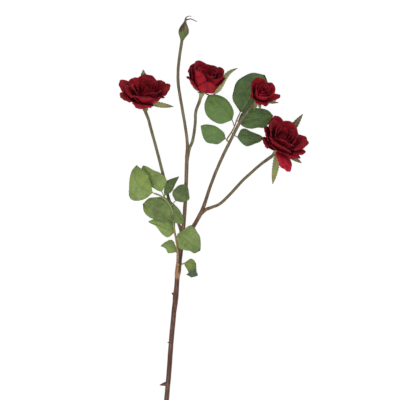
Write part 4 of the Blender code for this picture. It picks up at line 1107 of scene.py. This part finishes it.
def build_stage():
    """A plain pale floor, a soft key light from the lower left, a soft fill and a pale sky."""
    g = Graph("pale_floor", 0.9, 0.1)
    paint = (FLOOR_PAINT, FLOOR_PAINT, FLOOR_PAINT)
    glow = (("Emission Color", (1.0, 1.0, 1.0)), ("Emission Strength", FLOOR_GLOW))
    g.fill(g.shader, (("Base Color", paint), *glow))
    mesh = bpy.data.meshes.new("floor")
    sheet = bmesh.new()
    bmesh.ops.create_grid(sheet, x_segments=1, y_segments=1, size=FLOOR_REACH)
    sheet.to_mesh(mesh)
    sheet.free()
    mesh.materials.append(g.material)
    floor = add_item("floor", mesh, (0.0, 0.0, FLOOR_HEIGHT * MM))
    aim = Vector((0.0, 0.05, 0.0))
    lights = (("key", (-0.7, -0.9, 1.5), 0.9, 20.0), ("fill", (1.1, 0.5, 1.6), 1.6, 8.0))
    for name, place, size, power in lights:
        light = bpy.data.lights.new(name, "AREA")
        light.shape = "DISK"
        light.size = size
        light.energy = power
        lamp = add_item(name, light, place)
        lamp.rotation_euler = (aim - Vector(place)).to_track_quat("-Z", "Y").to_euler()
    world = bpy.data.worlds.new("sky")
    world.use_nodes = True
    sky = world.node_tree.nodes["Background"]
    sky.inputs["Color"].default_value = (1.0, 1.0, 1.0, 1.0)
    sky.inputs["Strength"].default_value = SKY_STRENGTH
    bpy.context.scene.world = world
    bpy.context.scene.view_settings.view_transform = "Standard"


def build_camera():
    camera = bpy.data.cameras.new("camera")
    camera.sensor_width = SENSOR_WIDTH
    camera.lens = SENSOR_WIDTH * (CAMERA_HEIGHT - MIDDLE_HEIGHT) / VIEW_WIDTH
    camera.clip_start, camera.clip_end = 0.05, 20.0
    place = Vector((CAMERA_X - MIDDLE_X, CAMERA_Y, CAMERA_HEIGHT)) * MM
    bpy.context.scene.camera = add_item("camera", camera, place)


build_camera()
build_stage()
velvet = petal_material()
green = calyx_material()
dark_leaf = leaf_material("dark_leaf", (0.036, 0.064, 0.023), (0.096, 0.165, 0.043), (0.11, 0.15, 0.055),
                          (0.13, 0.18, 0.09), (0.03, 0.04, 0.02), 0.5)
drooping_leaf = leaf_material("drooping_leaf", (0.04, 0.068, 0.036), (0.185, 0.235, 0.028),
                              (0.09, 0.12, 0.036), (0.15, 0.18, 0.09), (0.04, 0.048, 0.022), 0.54, 1.1)
light_leaf = leaf_material("light_leaf", (0.054, 0.078, 0.024), (0.178, 0.242, 0.068), (0.1, 0.13, 0.036),
                           (0.17, 0.205, 0.1), (0.05, 0.055, 0.022), 0.54)
build_stem(cane_material())
for bloom_name in BLOOMS:
    build_petals(bloom_name, velvet)
    build_calyx(bloom_name, green)
build_bud(bud_material())
build_leaf("leaf_upper", "dark_compound_leaf", UPPER_RACHIS, UPPER_LEAFLETS, dark_leaf)
build_leaf("leaf_lower", "light_compound_leaf", LOWER_RACHIS, LOWER_LEAFLETS, light_leaf)
build_leaf("leaf_side", "drooping_leaflet", SIDE_RACHIS, SIDE_LEAFLETS, drooping_leaf)
